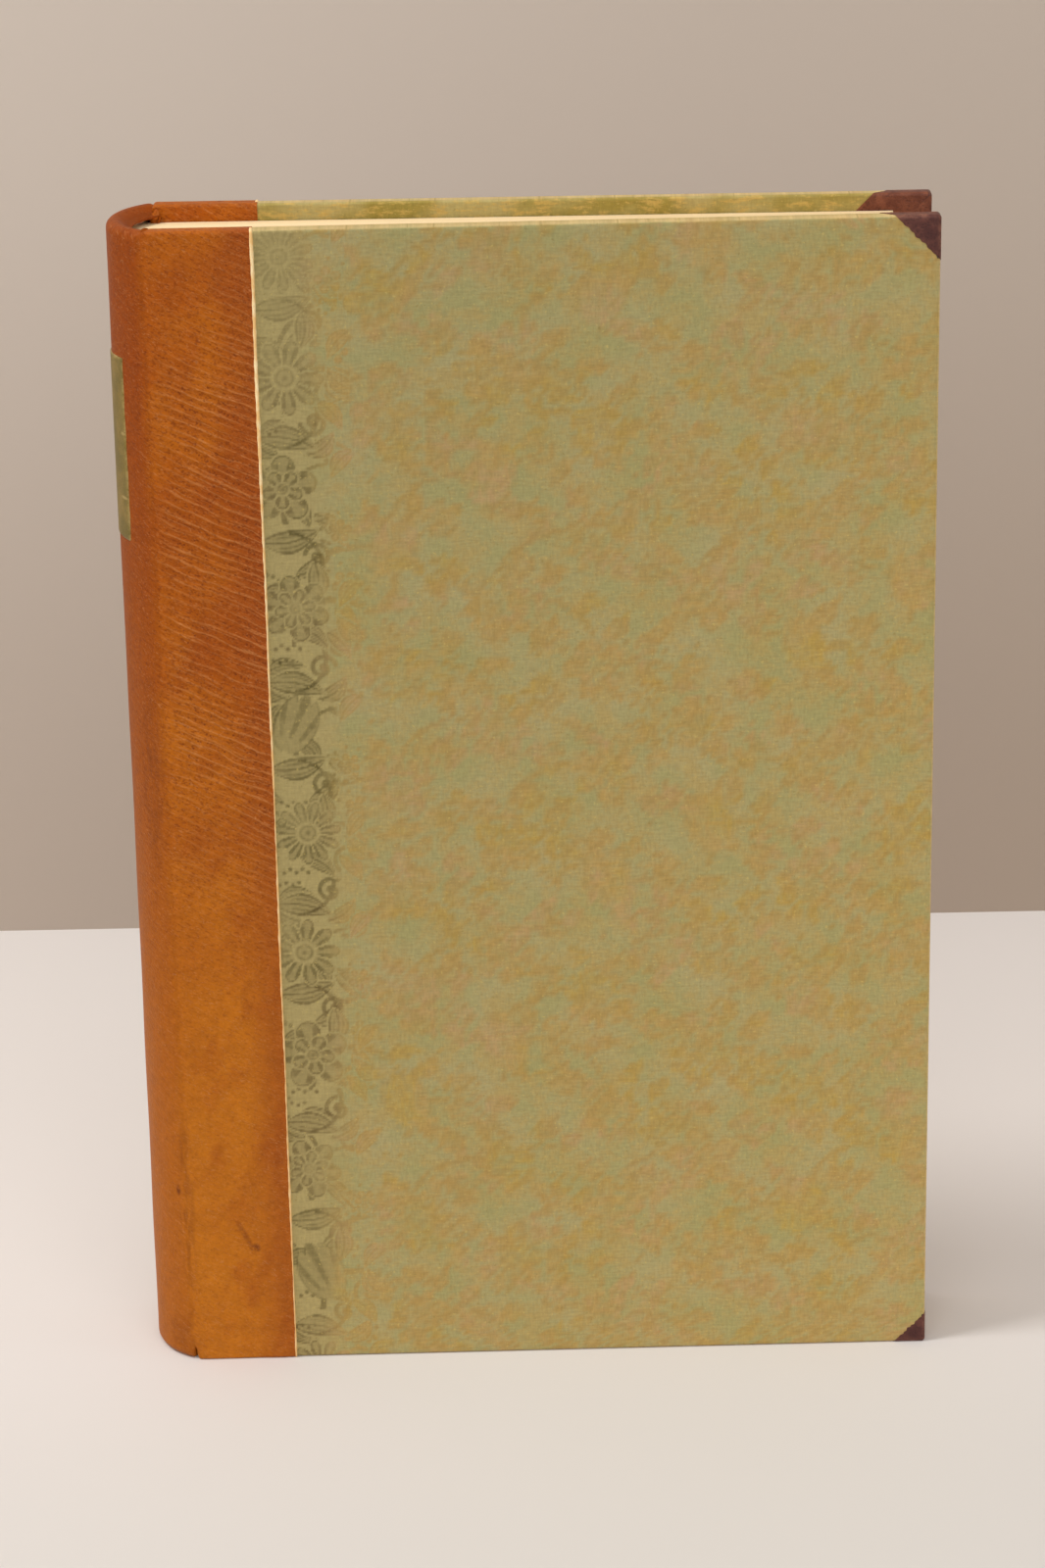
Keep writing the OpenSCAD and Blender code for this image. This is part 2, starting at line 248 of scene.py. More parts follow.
def leather_grid(s):
    """The leather for a row of distances s: the upright part, and at both ends the part turned over,
    which changes from a cap over the endband to a board's edge across the joint. A shallow groove
    runs down the joint. It ends in notches, deep behind the cap at the head and at the front of the
    tail, and in faint upright folds at the front of the head."""
    board = smooth(np.abs(s), S_SHOULDER - 0.2, S_BOARD + 0.2)[None, :]
    bd, bt = turned_over_board()
    cd, ct = turned_over_band()
    drop = cd[:, None] * (1 - board) + bd[:, None] * board
    depth = ct[:, None] * (1 - board) + bt[:, None] * board
    first = drop[0]
    rows = spread((0, 6, 0.4), (6, 20, 1.2), (20, 200, 2.5), (200, 214, 1.2), (214, 220, 0.4))
    body = rows[1:-1, None] / BOOK_H
    z_low, z_high = drop[::-1], BOOK_H - drop
    z_body = first[None, :] + body * (BOOK_H - 2 * first[None, :])
    z = np.concatenate([z_low, z_body, z_high])
    d = np.concatenate([depth[::-1], 0 * z_body, depth])
    end = np.minimum(z, BOOK_H - z)
    groove = bell(np.abs(s), S_JOINT, 0.75)[None, :]
    upper = z > MID_H
    deep = np.where(s > 0, np.where(upper, 0.12, 1.0), np.where(upper, 1.15, 0.7))
    notch = bell(np.abs(s), S_JOINT, 0.5)[None, :] * deep
    folds = np.cos((s - S_JOINT) * 4.6) * bell(s, S_JOINT, 1.9) * (s > 0) * upper
    folds = folds * np.exp(-(end / 5.0) ** 2)
    d = d + 0.3 * groove * np.where(d < 0.4, 1, 0.4) + notch * np.exp(-(end / 1.8) ** 2) - 0.09 * folds
    z = z + np.where(z < MID_H, 1, -1) * 1.3 * notch * np.exp(-(end / 2.2) ** 2)
    wave = np.sin(s * 0.55 + z * 0.061) * np.sin(z * 0.113 + 1.3) + 0.6 * np.sin(s * 0.9 - z * 0.19 + 2)
    d = d + 0.035 * wave * (d < 0.5)
    travel = np.concatenate([[0], np.cumsum(np.hypot(np.diff(bd), np.diff(bt)))])
    over = travel[:, None] + 0 * drop
    t = np.concatenate([first[None, :] - over[::-1], z_body, BOOK_H - first[None, :] + over])
    return on_leather(s[None, :] + 0 * z, z, d), np.stack([s[None, :] + 0 * t, t], -1)


# ---------------------------------------------------------------- the printed pattern


class Print:
    """A block print drawn on the flat sheet: each motif clears the ground under it, then lays down a
    fill and its lines. Places and sizes are in millimetres of the sheet."""

    def __init__(self, u, v):
        self.u, self.v = u, v
        self.fill = np.zeros(len(u))
        self.line = np.zeros(len(u))

    def near(self, u0, v0, reach, turn):
        """The points within reach of a place, with their coordinates turned about it."""
        pick = np.nonzero((np.abs(self.u - u0) < reach) & (np.abs(self.v - v0) < reach))[0]
        a, b = self.u[pick] - u0, self.v[pick] - v0
        c, s = math.cos(turn), math.sin(turn)
        return pick, a * c + b * s, b * c - a * s

    def lay(self, pick, clear, fill, line):
        self.fill[pick] = self.fill[pick] * (1 - clear) + fill
        self.line[pick] = np.maximum(self.line[pick] * (1 - clear), line)

    def leaf(self, u0, v0, length, width, turn, bend=0.0):
        """A bent leaf: half its width is width times the sine along it. Dark bands follow its edge and
        its midrib, with a shorter one between."""
        pick, a, b = self.near(u0, v0, length * 1.2, turn)
        t = np.clip(a / length, 0, 1)
        b = b - bend * length * t * (1 - t) * 4
        half = width / 2 * np.sin(math.pi * t ** 0.8) * ((a > 0) & (a < length))
        inside = smooth(half - np.abs(b), -0.05, 0.15)
        q = np.abs(b) / np.maximum(half, 0.05)
        edge = smooth(q, 0.66, 0.78) * inside
        rib = smooth(-np.abs(b), -0.3, -0.1) * inside * (t < 0.9)
        band = bell(q, 0.45, 0.1) * inside * smooth(t, 0.15, 0.3) * smooth(-t, -0.8, -0.65)
        self.lay(pick, smooth(half - np.abs(b), -0.5, -0.15) * (half > 0), inside * 0.8,
                 np.maximum.reduce([edge, rib, 0.8 * band]))

    def daisy(self, u0, v0, radius, petals, turn=0.0, eye=True):
        """A flower of separate petals: each is a lobe where the cosine round the flower is high, with
        dark rays that run outwards."""
        pick, a, b = self.near(u0, v0, radius * 1.15, turn)
        r, q = np.hypot(a, b) / radius, np.arctan2(b, a) * petals / 2
        lobe = np.abs(np.cos(q))
        edge = 0.5 + 0.48 * lobe ** 0.7
        w = 0.28 / radius
        inside = smooth(edge - r, 0, w) * smooth(lobe, 0.2, 0.36) * smooth(r, 0.3, 0.36)
        rim = inside * (1 - smooth(edge - r, w, 2.2 * w) * smooth(lobe, 0.35, 0.55))
        rays = smooth(np.cos(q * 4 + math.pi), 0.0, 0.6) * inside
        rays = rays * smooth(r, 0.34, 0.42) * smooth(-r, -0.9, -0.72)
        ring = np.maximum(bell(r, 0.21, w), bell(r, 0.0, 1.8 * w)) * eye
        self.lay(pick, smooth(edge - r, -2 * w, 0), 0.85 * inside + 0.5 * smooth(-r, -0.22, -0.18) * eye,
                 np.maximum.reduce([rim, 0.85 * rays, ring]))

    def rose(self, u0, v0, radius, petals, turn=0.0):
        """A double flower: a smaller flower over a larger one, turned by half a petal."""
        self.daisy(u0, v0, radius, petals, turn, False)
        self.daisy(u0, v0, radius * 0.6, petals, turn + math.pi / petals)

    def bud(self, u0, v0, radius, turn=0.0):
        """A half-open flower seen from the side: three pointed lobes over a cup, lined lengthways."""
        pick, a, b = self.near(u0, v0, radius * 1.4, turn)
        t, across, w = a / radius, b / radius, 0.2 / radius
        half = 0.62 * np.sqrt(np.clip(1 - (t - 0.1) ** 2 / 0.95, 0, 1))
        top = 0.75 + 0.35 * np.abs(np.cos(across * math.pi / 0.42))
        inside = smooth(half - np.abs(across), 0, 0.06) * smooth(top - t, 0, 0.08) * smooth(t, -0.85, -0.8)
        stripe = smooth(np.cos(across * 11 / (0.7 + 0.5 * t)), 0.1, 0.6) * inside * smooth(t, -0.5, -0.3)
        sides = bell(np.abs(across), half, w) * (t < top)
        rim = np.maximum(sides, bell(t, top, w) * (np.abs(across) < half))
        self.lay(pick, inside, inside * 0.85, np.maximum(rim * (half > 0.05), 0.6 * stripe))

    def sprig(self, u0, v0, radius, turn=0.0):
        """A small five-petalled flower in a ring of dots."""
        self.daisy(u0, v0, radius, 5, turn)
        q = turn + np.arange(9) * 2 * math.pi / 9
        for x, y in zip(u0 + 1.45 * radius * np.cos(q), v0 + 1.45 * radius * np.sin(q)):
            self.dot(x, y, 0.34)

    def dot(self, u0, v0, radius):
        pick, a, b = self.near(u0, v0, radius * 3, 0)
        spot = smooth(radius - np.hypot(a, b), -0.12, 0.12)
        self.lay(pick, 0 * spot, 0.6 * spot, spot)

    def stem(self, u0, v0, radius, start, sweep, width=0.5):
        """Part of a circle about a place, from an angle on through sweep, thinning to its end."""
        pick, a, b = self.near(u0, v0, radius + 2, 0)
        q = (np.arctan2(b, a) - start) * np.sign(sweep) % (2 * math.pi) / abs(sweep)
        w = width * (1.15 - 0.6 * np.clip(q, 0, 1)) * (q < 1)
        on = smooth(w - np.abs(np.hypot(a, b) - radius), -0.1, 0.12) * (q < 1)
        self.lay(pick, 0 * on, 0.5 * on, on)

    def curl(self, u0, v0, radius, turn, way=1):
        """A tendril: an even spiral of one and a half turns that ends in a dot."""
        pick, a, b = self.near(u0, v0, radius * 1.1, turn)
        r, q = np.hypot(a, b), np.arctan2(b * way, a) % (2 * math.pi) / (2 * math.pi)
        pitch = radius / 1.6
        k = np.round(r / pitch - q)
        gap = np.abs(r - (q + k) * pitch)
        on = smooth(0.42 - gap, -0.12, 0.12) * (k >= 0) * (q + k < 1.55)
        self.lay(pick, 0 * on, 0.5 * on, on)
        self.dot(u0, v0, 0.6)


def draw_print(u, v):
    """The whole pattern: scrolling stems in staggered columns, a flower at each turn of a stem, leaves
    along it, and small flowers, curls and dots between. A seeded draw varies sizes and turns. Stems
    are laid first, then leaves, then flowers over them."""
    art = Print(u, v)
    rng = np.random.default_rng(20)
    stems, leaves, flowers = [], [], []
    step_u, step_v = 18.5, 22.0
    for i in range(-1, 7):
        for j in range(-1, 12):
            cu = 24.6 + i * step_u + rng.uniform(-1.2, 1.2)
            cv = -4 + j * step_v + (i % 2) * step_v / 2 + rng.uniform(-1.5, 1.5)
            way = 1 if (i + j) % 2 else -1
            kind = (i * 3 + j * 2) % 5
            size = rng.uniform(0.9, 1.08)
            tilt = rng.uniform(0, 2 * math.pi)
            stem_u, stem_v, stem_r = cu + way * 6.5, cv - 11, 12.5
            stems.append((art.stem, stem_u, stem_v, stem_r, math.pi / 2 + way * 0.5, -way * 2.3, 0.6))
            turn = -way * 0.3 + (0 if way > 0 else math.pi)
            stems.append((art.stem, cu - way * 8.5, cv - 4, 8.5, turn, way * 1.9))
            stems.append((art.curl, cu - way * 9.2, cv + 6, 3.3, rng.uniform(0, 6.28), way))
            for k in range(4):
                q = math.pi / 2 - way * (0.1 + 0.55 * k)
                x, y = stem_u + stem_r * math.cos(q), stem_v + stem_r * math.sin(q)
                lean = q - way * math.pi / 2 + (0.8 if k % 2 else -0.8)
                bend = 0.14 * (1 if k % 2 else -1)
                leaves.append((art.leaf, x, y, rng.uniform(6.4, 8.6), rng.uniform(3.0, 4.0), lean, bend))
            for k in (-1, 1):
                x, lean = cu - way * 2 + k * 2.4, math.pi / 2 - k * 0.85
                leaves.append((art.leaf, x, cv + 6.2, rng.uniform(6.5, 8), 3.4, lean, -0.16 * k))
                lean = -k * 0.9 + (0 if k > 0 else math.pi)
                leaves.append((art.leaf, cu + k * 5.5, cv - 4.5, 7.0, 3.2, lean, 0.12 * k))
            leaves.append((art.sprig, cu + way * 9.2, cv + 4.6, rng.uniform(2.2, 2.8), tilt))
            for k in range(4):
                leaves.append((art.dot, cu - way * 5.5 + k * 1.2, cv - 10.2 + 0.5 * (k % 2), 0.36))
            if i == 0:
                middle = cv + step_v / 2
                leaves.append((art.leaf, 19.4, middle + 1.5 * way, 11.0, 4.6, 0.22 * way, -0.1 * way))
                leaves.append((art.curl, 29.5, middle - 1.2 * way, 2.6, tilt, way))
                leaves.append((art.stem, 24.0, middle - 3.0 * way, 6.2, -0.4 * way, 1.9 * way, 0.45))
                for k in range(5):
                    leaves.append((art.dot, 21.2 + 1.1 * k, middle - way * (4.9 + 0.7 * (k % 2)), 0.4))
            if kind in (0, 3):
                flowers.append((art.daisy, cu, cv, 6.9 * size, 9 + 2 * (kind == 0), tilt))
            elif kind in (1, 4):
                flowers.append((art.rose, cu, cv, 6.8 * size, 5 + (kind == 4), tilt))
            else:
                flowers.append((art.bud, cu, cv + 1, 6.4 * size, math.pi / 2 + way * 0.4))
    for draw, *values in stems + leaves + flowers:
        draw(*values)
    return art.fill, art.line


# ---------------------------------------------------------------- colours and node helpers


def shade(r, g, b):
    """A colour as seen on a screen, 0 to 255, turned into the linear values that a shader takes."""
    c = np.array([r, g, b]) / 255
    return (*np.where(c <= 0.04045, c / 12.92, ((c + 0.055) / 1.055) ** 2.4), 1.0)


class Nodes:
    """Short calls for the nodes of one material or group."""

    def __init__(self, tree):
        self.tree = tree

    def add(self, kind, **settings):
        node = self.tree.nodes.new("ShaderNode" + kind)
        for key, value in settings.items():
            setattr(node, key, value)
        return node

    def feed(self, socket, value):
        if isinstance(value, bpy.types.NodeSocket):
            self.tree.links.new(value, socket)
        else:
            socket.default_value = value

    def math(self, operation, *values, clamp=False):
        node = self.add("Math", operation=operation, use_clamp=clamp)
        for socket, value in zip(node.inputs, values):
            self.feed(socket, value)
        return node.outputs[0]

    def fold(self, operation, first, *rest):
        """One operation over any number of values, from the left."""
        for value in rest:
            first = self.math(operation, first, value)
        return first

    def times(self, *values):
        return self.fold("MULTIPLY", *values)

    def plus(self, *values):
        return self.fold("ADD", *values)

    def most(self, *values):
        return self.fold("MAXIMUM", *values)

    def flip(self, value):
        return self.math("SUBTRACT", 1.0, value)

    def rise(self, value, low, high, to_low=0.0, to_high=1.0):
        """A smooth step of a value from low to high."""
        node = self.add("MapRange", interpolation_type="SMOOTHSTEP")
        for socket, v in zip(node.inputs, (value, low, high, to_low, to_high)):
            self.feed(socket, v)
        return node.outputs[0]

    def mix(self, share, a, b, way="MIX"):
        node = self.add("Mix", data_type="RGBA", blend_type=way)
        self.feed(node.inputs[0], share)
        self.feed(node.inputs[6], a)
        self.feed(node.inputs[7], b)
        return node.outputs[2]

    def noise(self, place, scale, detail=2.0, rough=0.5, distort=0.0):
        node = self.add("TexNoise")
        self.feed(node.inputs["Vector"], place)
        for name, v in (("Scale", scale), ("Detail", detail), ("Roughness", rough), ("Distortion", distort)):
            node.inputs[name].default_value = v
        return node.outputs[0]

    def stretch(self, place, size, turn=0.0):
        """A place turned about Z, then stretched."""
        for name, value in (("Rotation", (0, 0, turn)), ("Scale", size)):
            node = self.add("Mapping")
            self.feed(node.inputs["Vector"], place)
            node.inputs[name].default_value = value
            place = node.outputs[0]
        return place

    def parts(self, place):
        node = self.add("SeparateXYZ")
        self.feed(node.inputs[0], place)
        return node.outputs

    def spot(self, u, v, u0, v0, ru, rv):
        """A soft oval patch on the sheet, 1 in its middle."""
        a = self.math("DIVIDE", self.math("SUBTRACT", u, u0), ru)
        b = self.math("DIVIDE", self.math("SUBTRACT", v, v0), rv)
        return self.rise(self.plus(self.times(a, a), self.times(b, b)), 1.0, 0.0)


def group(name, inputs, outputs):
    """An empty node group with named inputs (name, type, value) and outputs (name, type)."""
    tree = bpy.data.node_groups.new(name, "ShaderNodeTree")
    kinds = {"f": "NodeSocketFloat", "c": "NodeSocketColor", "v": "NodeSocketVector"}
    for label, kind, value in inputs:
        socket = tree.interface.new_socket(label, in_out="INPUT", socket_type=kinds[kind])
        if value is not None:
            socket.default_value = value
    for label, kind in outputs:
        tree.interface.new_socket(label, in_out="OUTPUT", socket_type=kinds[kind])
    n = Nodes(tree)
    return n, tree.nodes.new("NodeGroupInput").outputs, tree.nodes.new("NodeGroupOutput").inputs


def place_group(n, tree, **values):
    node = n.tree.nodes.new("ShaderNodeGroup")
    node.node_tree = tree
    for key, value in values.items():
        n.feed(node.inputs[key.replace("_", " ")], value)
    return node.outputs


def finish_material(name, **constants):
    """A material with its Principled shader, whose plain numbers are set on its own sockets."""
    material = bpy.data.materials.new(name)
    material.use_nodes = True
    shader = material.node_tree.nodes["Principled BSDF"]
    for key, value in constants.items():
        shader.inputs[key.replace("_", " ")].default_value = value
    return material, Nodes(material.node_tree), shader


def dress(n, shader, colour, rough, swing, height, distance):
    """Feeds the shader a colour, a roughness with a swing (map, share) added to it, and a bump of a
    height map over a distance in metres."""
    n.feed(shader.inputs["Base Color"], colour)
    n.feed(shader.inputs["Roughness"], n.plus(rough, n.times(*swing)))
    bump = n.add("Bump")
    bump.inputs["Strength"].default_value = 1.0
    bump.inputs["Distance"].default_value = distance
    n.feed(bump.inputs["Height"], height)
    n.feed(shader.inputs["Normal"], bump.outputs[0])


def grain_group():
    """Leather grain: pores as small dark cells, creases between pebbles and a fine tooth."""
    n, given, out = group(
        "leather grain", [("Place", "v", None), ("Pore scale", "f", 1500.0)],
        [("Pores", "f"), ("Height", "f"), ("Mottle", "f")])
    place, size = given[0], given[1]
    cells = n.add("TexVoronoi")
    n.feed(cells.inputs["Vector"], place)
    n.feed(cells.inputs["Scale"], size)
    pores = n.rise(cells.outputs["Distance"], 0.12, 0.5)
    pores = n.most(pores, n.rise(n.noise(place, 420.0, 2.0), 0.42, 0.7))
    pebble = n.add("TexVoronoi", feature="DISTANCE_TO_EDGE")
    n.feed(pebble.inputs["Vector"], place)
    n.feed(pebble.inputs["Scale"], n.times(size, 0.62))
    crease = n.rise(pebble.outputs["Distance"], 0.0, 0.14)
    tooth = n.noise(place, 2600.0, 2.0)
    n.feed(out[0], n.times(pores, n.plus(0.8, n.times(crease, 0.2))))
    total = n.plus(n.times(pores, 0.5), n.times(crease, 0.35))
    n.feed(out[1], n.plus(total, n.times(tooth, 0.3)))
    n.feed(out[2], n.noise(place, 380.0, 5.0, 0.78))
    return n.tree


def fibre_group():
    """Paper: fine crossed threads of a linen finish and a soft cloudy formation."""
    n, given, out = group("paper fibres", [("Place", "v", None)], [("Threads", "f"), ("Cloud", "f")])
    across = n.noise(n.stretch(given[0], (480, 2300, 1)), 1.0, 2.0)
    upright = n.noise(n.stretch(given[0], (2300, 620, 1)), 1.0, 2.0)
    n.feed(out[0], n.times(n.plus(across, upright), 0.5))
    n.feed(out[1], n.noise(given[0], 420.0, 4.0, 0.6))
    return n.tree


GRAIN = grain_group()
FIBRES = fibre_group()


def sheet_place(n):
    return n.add("UVMap", uv_map="sheet").outputs[0]


def tan_calf():
    """Tan calf: golden and red-brown patches, dark pores, long light wrinkles that fall to the right
    over the upper half, redder by the seam, with stains and darker streaks. Painted light as well:
    lighter towards the tail, painted shade over the back, darkest at its head, and painted shade in
    bands between the wrinkles."""
    material, n, shader = finish_material("tan calf", Roughness=0.5, Specular_IOR_Level=0.12)
    place = sheet_place(n)
    u, v = n.parts(place)[:2]
    side = n.math("ABSOLUTE", u)
    grain = place_group(n, GRAIN, Place=place, Pore_scale=1700.0)
    broad = n.noise(place, 45.0, 3.0, 0.55)
    patch = n.noise(n.stretch(place, (120, 60, 1), 0.4), 1.0, 4.0, 0.6)
    colour = n.mix(n.rise(broad, 0.35, 0.65), shade(164, 80, 8), shade(180, 97, 12))
    # Painted light: the leather is painted lighter towards the tail.
    colour = n.mix(n.rise(v, 0.16, 0.03, 0.0, 0.65), colour, shade(194, 118, 26))
    colour = n.mix(n.rise(patch, 0.46, 0.7, 0.0, 0.5), colour, shade(150, 69, 14))
    colour = n.mix(n.rise(side, 0.0255, 0.0338, 0.0, 0.6), colour, shade(148, 70, 20))
    # Painted shade: the back is painted darker than the covers, darkest at the head and lighter towards the
    # tail, a painted glow from the table.
    painted_shade_on_back = n.mix(n.rise(v, 0.2, 0.03), shade(138, 60, 2), shade(168, 92, 14))
    colour = n.mix(n.rise(side, 0.0168, 0.0125, 0.0, 0.9), colour, painted_shade_on_back)
    colour = n.mix(n.times(n.spot(u, v, 0.027, 0.156, 0.011, 0.022), 0.2), colour, shade(146, 65, 12))
    # Darker streaks down the back and a smudge at its foot.
    streak = n.most(n.spot(u, v, 0.0115, 0.118, 0.0035, 0.022), n.spot(u, v, 0.0148, 0.032, 0.002, 0.026))
    streak = n.times(streak, n.rise(n.noise(n.stretch(place, (900, 160, 1)), 1.0, 3.0), 0.35, 0.6))
    foot = n.times(n.spot(u, v, 0.0125, 0.003, 0.006, 0.007), n.rise(patch, 0.35, 0.6))
    streak = n.most(streak, foot)
    colour = n.mix(n.times(streak, 0.34), colour, shade(106, 50, 18))
    blot = n.noise(place, 900.0, 3.0, 0.6)
    trail = n.spot(n.plus(u, n.times(v, 0.45)), v, 0.0374, 0.026, 0.0008, 0.005)
    stains = n.most(n.spot(u, v, 0.0275, 0.0235, 0.0014, 0.0011),
                    n.spot(u, v, 0.0131, 0.0355, 0.0006, 0.0014), n.times(trail, 0.6))
    stains = n.times(stains, n.rise(blot, 0.3, 0.55))
    colour = n.mix(n.times(stains, 0.75), colour, shade(96, 40, 16))
    bent = n.add("Mapping")
    n.feed(bent.inputs["Vector"], place)
    bent.inputs["Rotation"].default_value = (0, 0, 0.46)
    across = n.parts(bent.outputs[0])[1]
    wander = n.noise(n.stretch(place, (160, 500, 1), 0.46), 1.0, 2.0)
    phase = n.plus(n.times(across, 3500.0), n.times(n.noise(place, 42.0, 2.0), 15.0), n.times(wander, 5.0))
    folds = n.math("SINE", phase)
    gaps = n.noise(n.stretch(place, (85, 380, 1), 0.46), 1.0, 2.0)
    lines = n.times(n.rise(folds, 0.6, 1.0), n.rise(gaps, 0.36, 0.52, 0.05, 1.0))
    forks = n.math("SINE", n.math("MULTIPLY_ADD", phase, 1.37, 2.0))
    forks = n.times(n.rise(forks, 0.7, 1.0), n.rise(gaps, 0.56, 0.42, 0.0, 0.9))
    lines = n.most(lines, forks)
    over = n.times(n.rise(v, 0.075, 0.125), n.rise(v, 0.217, 0.185, 0.25, 1.0), n.rise(side, 0.0135, 0.02),
                   n.rise(n.noise(place, 70.0, 2.0), 0.34, 0.56, 0.4, 1.0))
    over = n.plus(n.times(over, 0.9), 0.06)
    wrinkles = n.times(lines, over)
    colour = n.mix(n.times(wrinkles, 0.42), colour, shade(206, 138, 80))
    # Painted shade: bands between the light wrinkle lines are painted darker, as the folds would shade them,
    # and the pits in those bands are painted darker further down.
    bands = n.times(n.rise(folds, 0.0, -1.0), over)
    colour = n.mix(n.times(bands, 0.12), colour, shade(134, 58, 10))
    speck = n.rise(grain["Mottle"], 0.32, 0.68)
    colour = n.mix(1.0, colour, n.mix(speck, (0.91, 0.9, 0.9, 1), (1.09, 1.09, 1.09, 1)), "MULTIPLY")
    dash = n.noise(n.stretch(place, (900, 2300, 1), 0.46), 1.0, 2.0)
    coarse = n.rise(v, 0.05, 0.125, 0.4, 1.0)
    dark_dash = n.times(n.rise(dash, 0.48, 0.3, 0.0, 0.55), coarse)
    colour = n.mix(dark_dash, colour, shade(116, 48, 4))
    hair = n.noise(n.stretch(place, (900, 2500, 1), 0.5), 1.0, 2.0, 0.5, 1.8)
    colour = n.mix(n.rise(hair, 0.53, 0.78, 0.0, 0.36), colour, shade(208, 144, 92))
    pits = n.flip(grain["Pores"])
    between = n.plus(n.times(coarse, 0.28), n.times(bands, 0.5))
    colour = n.mix(n.times(pits, between), colour, shade(108, 44, 8))
    height = n.plus(grain["Height"], n.times(n.times(folds, over), 0.9))
    dress(n, shader, colour, 0.42, (grain["Mottle"], 0.16), height, 0.00007)
    return material


def corner_calf():
    """Dark oxblood calf, redder where it is turned in behind the board, rubbed paler on the edges."""
    material, n, shader = finish_material("oxblood corner calf", Roughness=0.5, Specular_IOR_Level=0.25)
    place = sheet_place(n)
    u, v = n.parts(place)[:2]
    grain = place_group(n, GRAIN, Place=place, Pore_scale=1900.0)
    past = n.most(n.math("SUBTRACT", u, 0.1404), n.math("SUBTRACT", v, 0.22), n.times(v, -1.0))
    turned = n.rise(past, 0.0008, 0.003)
    patch = n.rise(n.noise(place, 320.0, 4.0, 0.65), 0.35, 0.68)
    colour = n.mix(patch, shade(78, 42, 38), shade(106, 62, 52))
    inside = n.mix(patch, shade(104, 54, 36), shade(136, 78, 54))
    colour = n.mix(turned, colour, inside)
    edge = n.times(n.rise(past, -0.0009, 0.0001), n.rise(past, 0.0016, 0.0006))
    worn = n.times(edge, n.rise(grain["Mottle"], 0.38, 0.62))
    colour = n.mix(n.times(worn, 0.6), colour, shade(158, 106, 84))
    colour = n.mix(n.times(n.flip(grain["Pores"]), 0.4), colour, shade(48, 26, 24))
    dress(n, shader, colour, 0.42, (grain["Mottle"], 0.16), grain["Height"], 0.00006)
    return material


def label_calf():
    """Olive skiver on the spine, with paler rubbed edges and two faint paler ticks at its side."""
    material, n, shader = finish_material("olive label leather", Roughness=0.45, Specular_IOR_Level=0.25)
    place = sheet_place(n)
    u, v = n.parts(place)[:2]
    grain = place_group(n, GRAIN, Place=place, Pore_scale=2400.0)
    patch = n.noise(place, 150.0, 4.0, 0.6)
    colour = n.mix(n.rise(patch, 0.35, 0.68), shade(112, 96, 44), shade(138, 114, 56))
    edge = n.rise(n.math("ABSOLUTE", u), 0.0079, 0.0087)
    ends = n.rise(n.math("ABSOLUTE", n.math("SUBTRACT", v, 0.1795)), 0.0163, 0.017)
    rubbed = n.times(n.most(edge, ends), n.rise(grain["Mottle"], 0.4, 0.62))
    pale = n.most(rubbed, n.spot(u, v, 0.0079, 0.1825, 0.0009, 0.0004),
                  n.spot(u, v, 0.0074, 0.1705, 0.0016, 0.0004))
    colour = n.mix(n.times(pale, 0.6), colour, shade(186, 160, 104))
    colour = n.mix(n.times(n.flip(grain["Pores"]), 0.35), colour, shade(80, 66, 26))
    dress(n, shader, colour, 0.38, (grain["Mottle"], 0.16), grain["Height"], 0.00004)
    return material


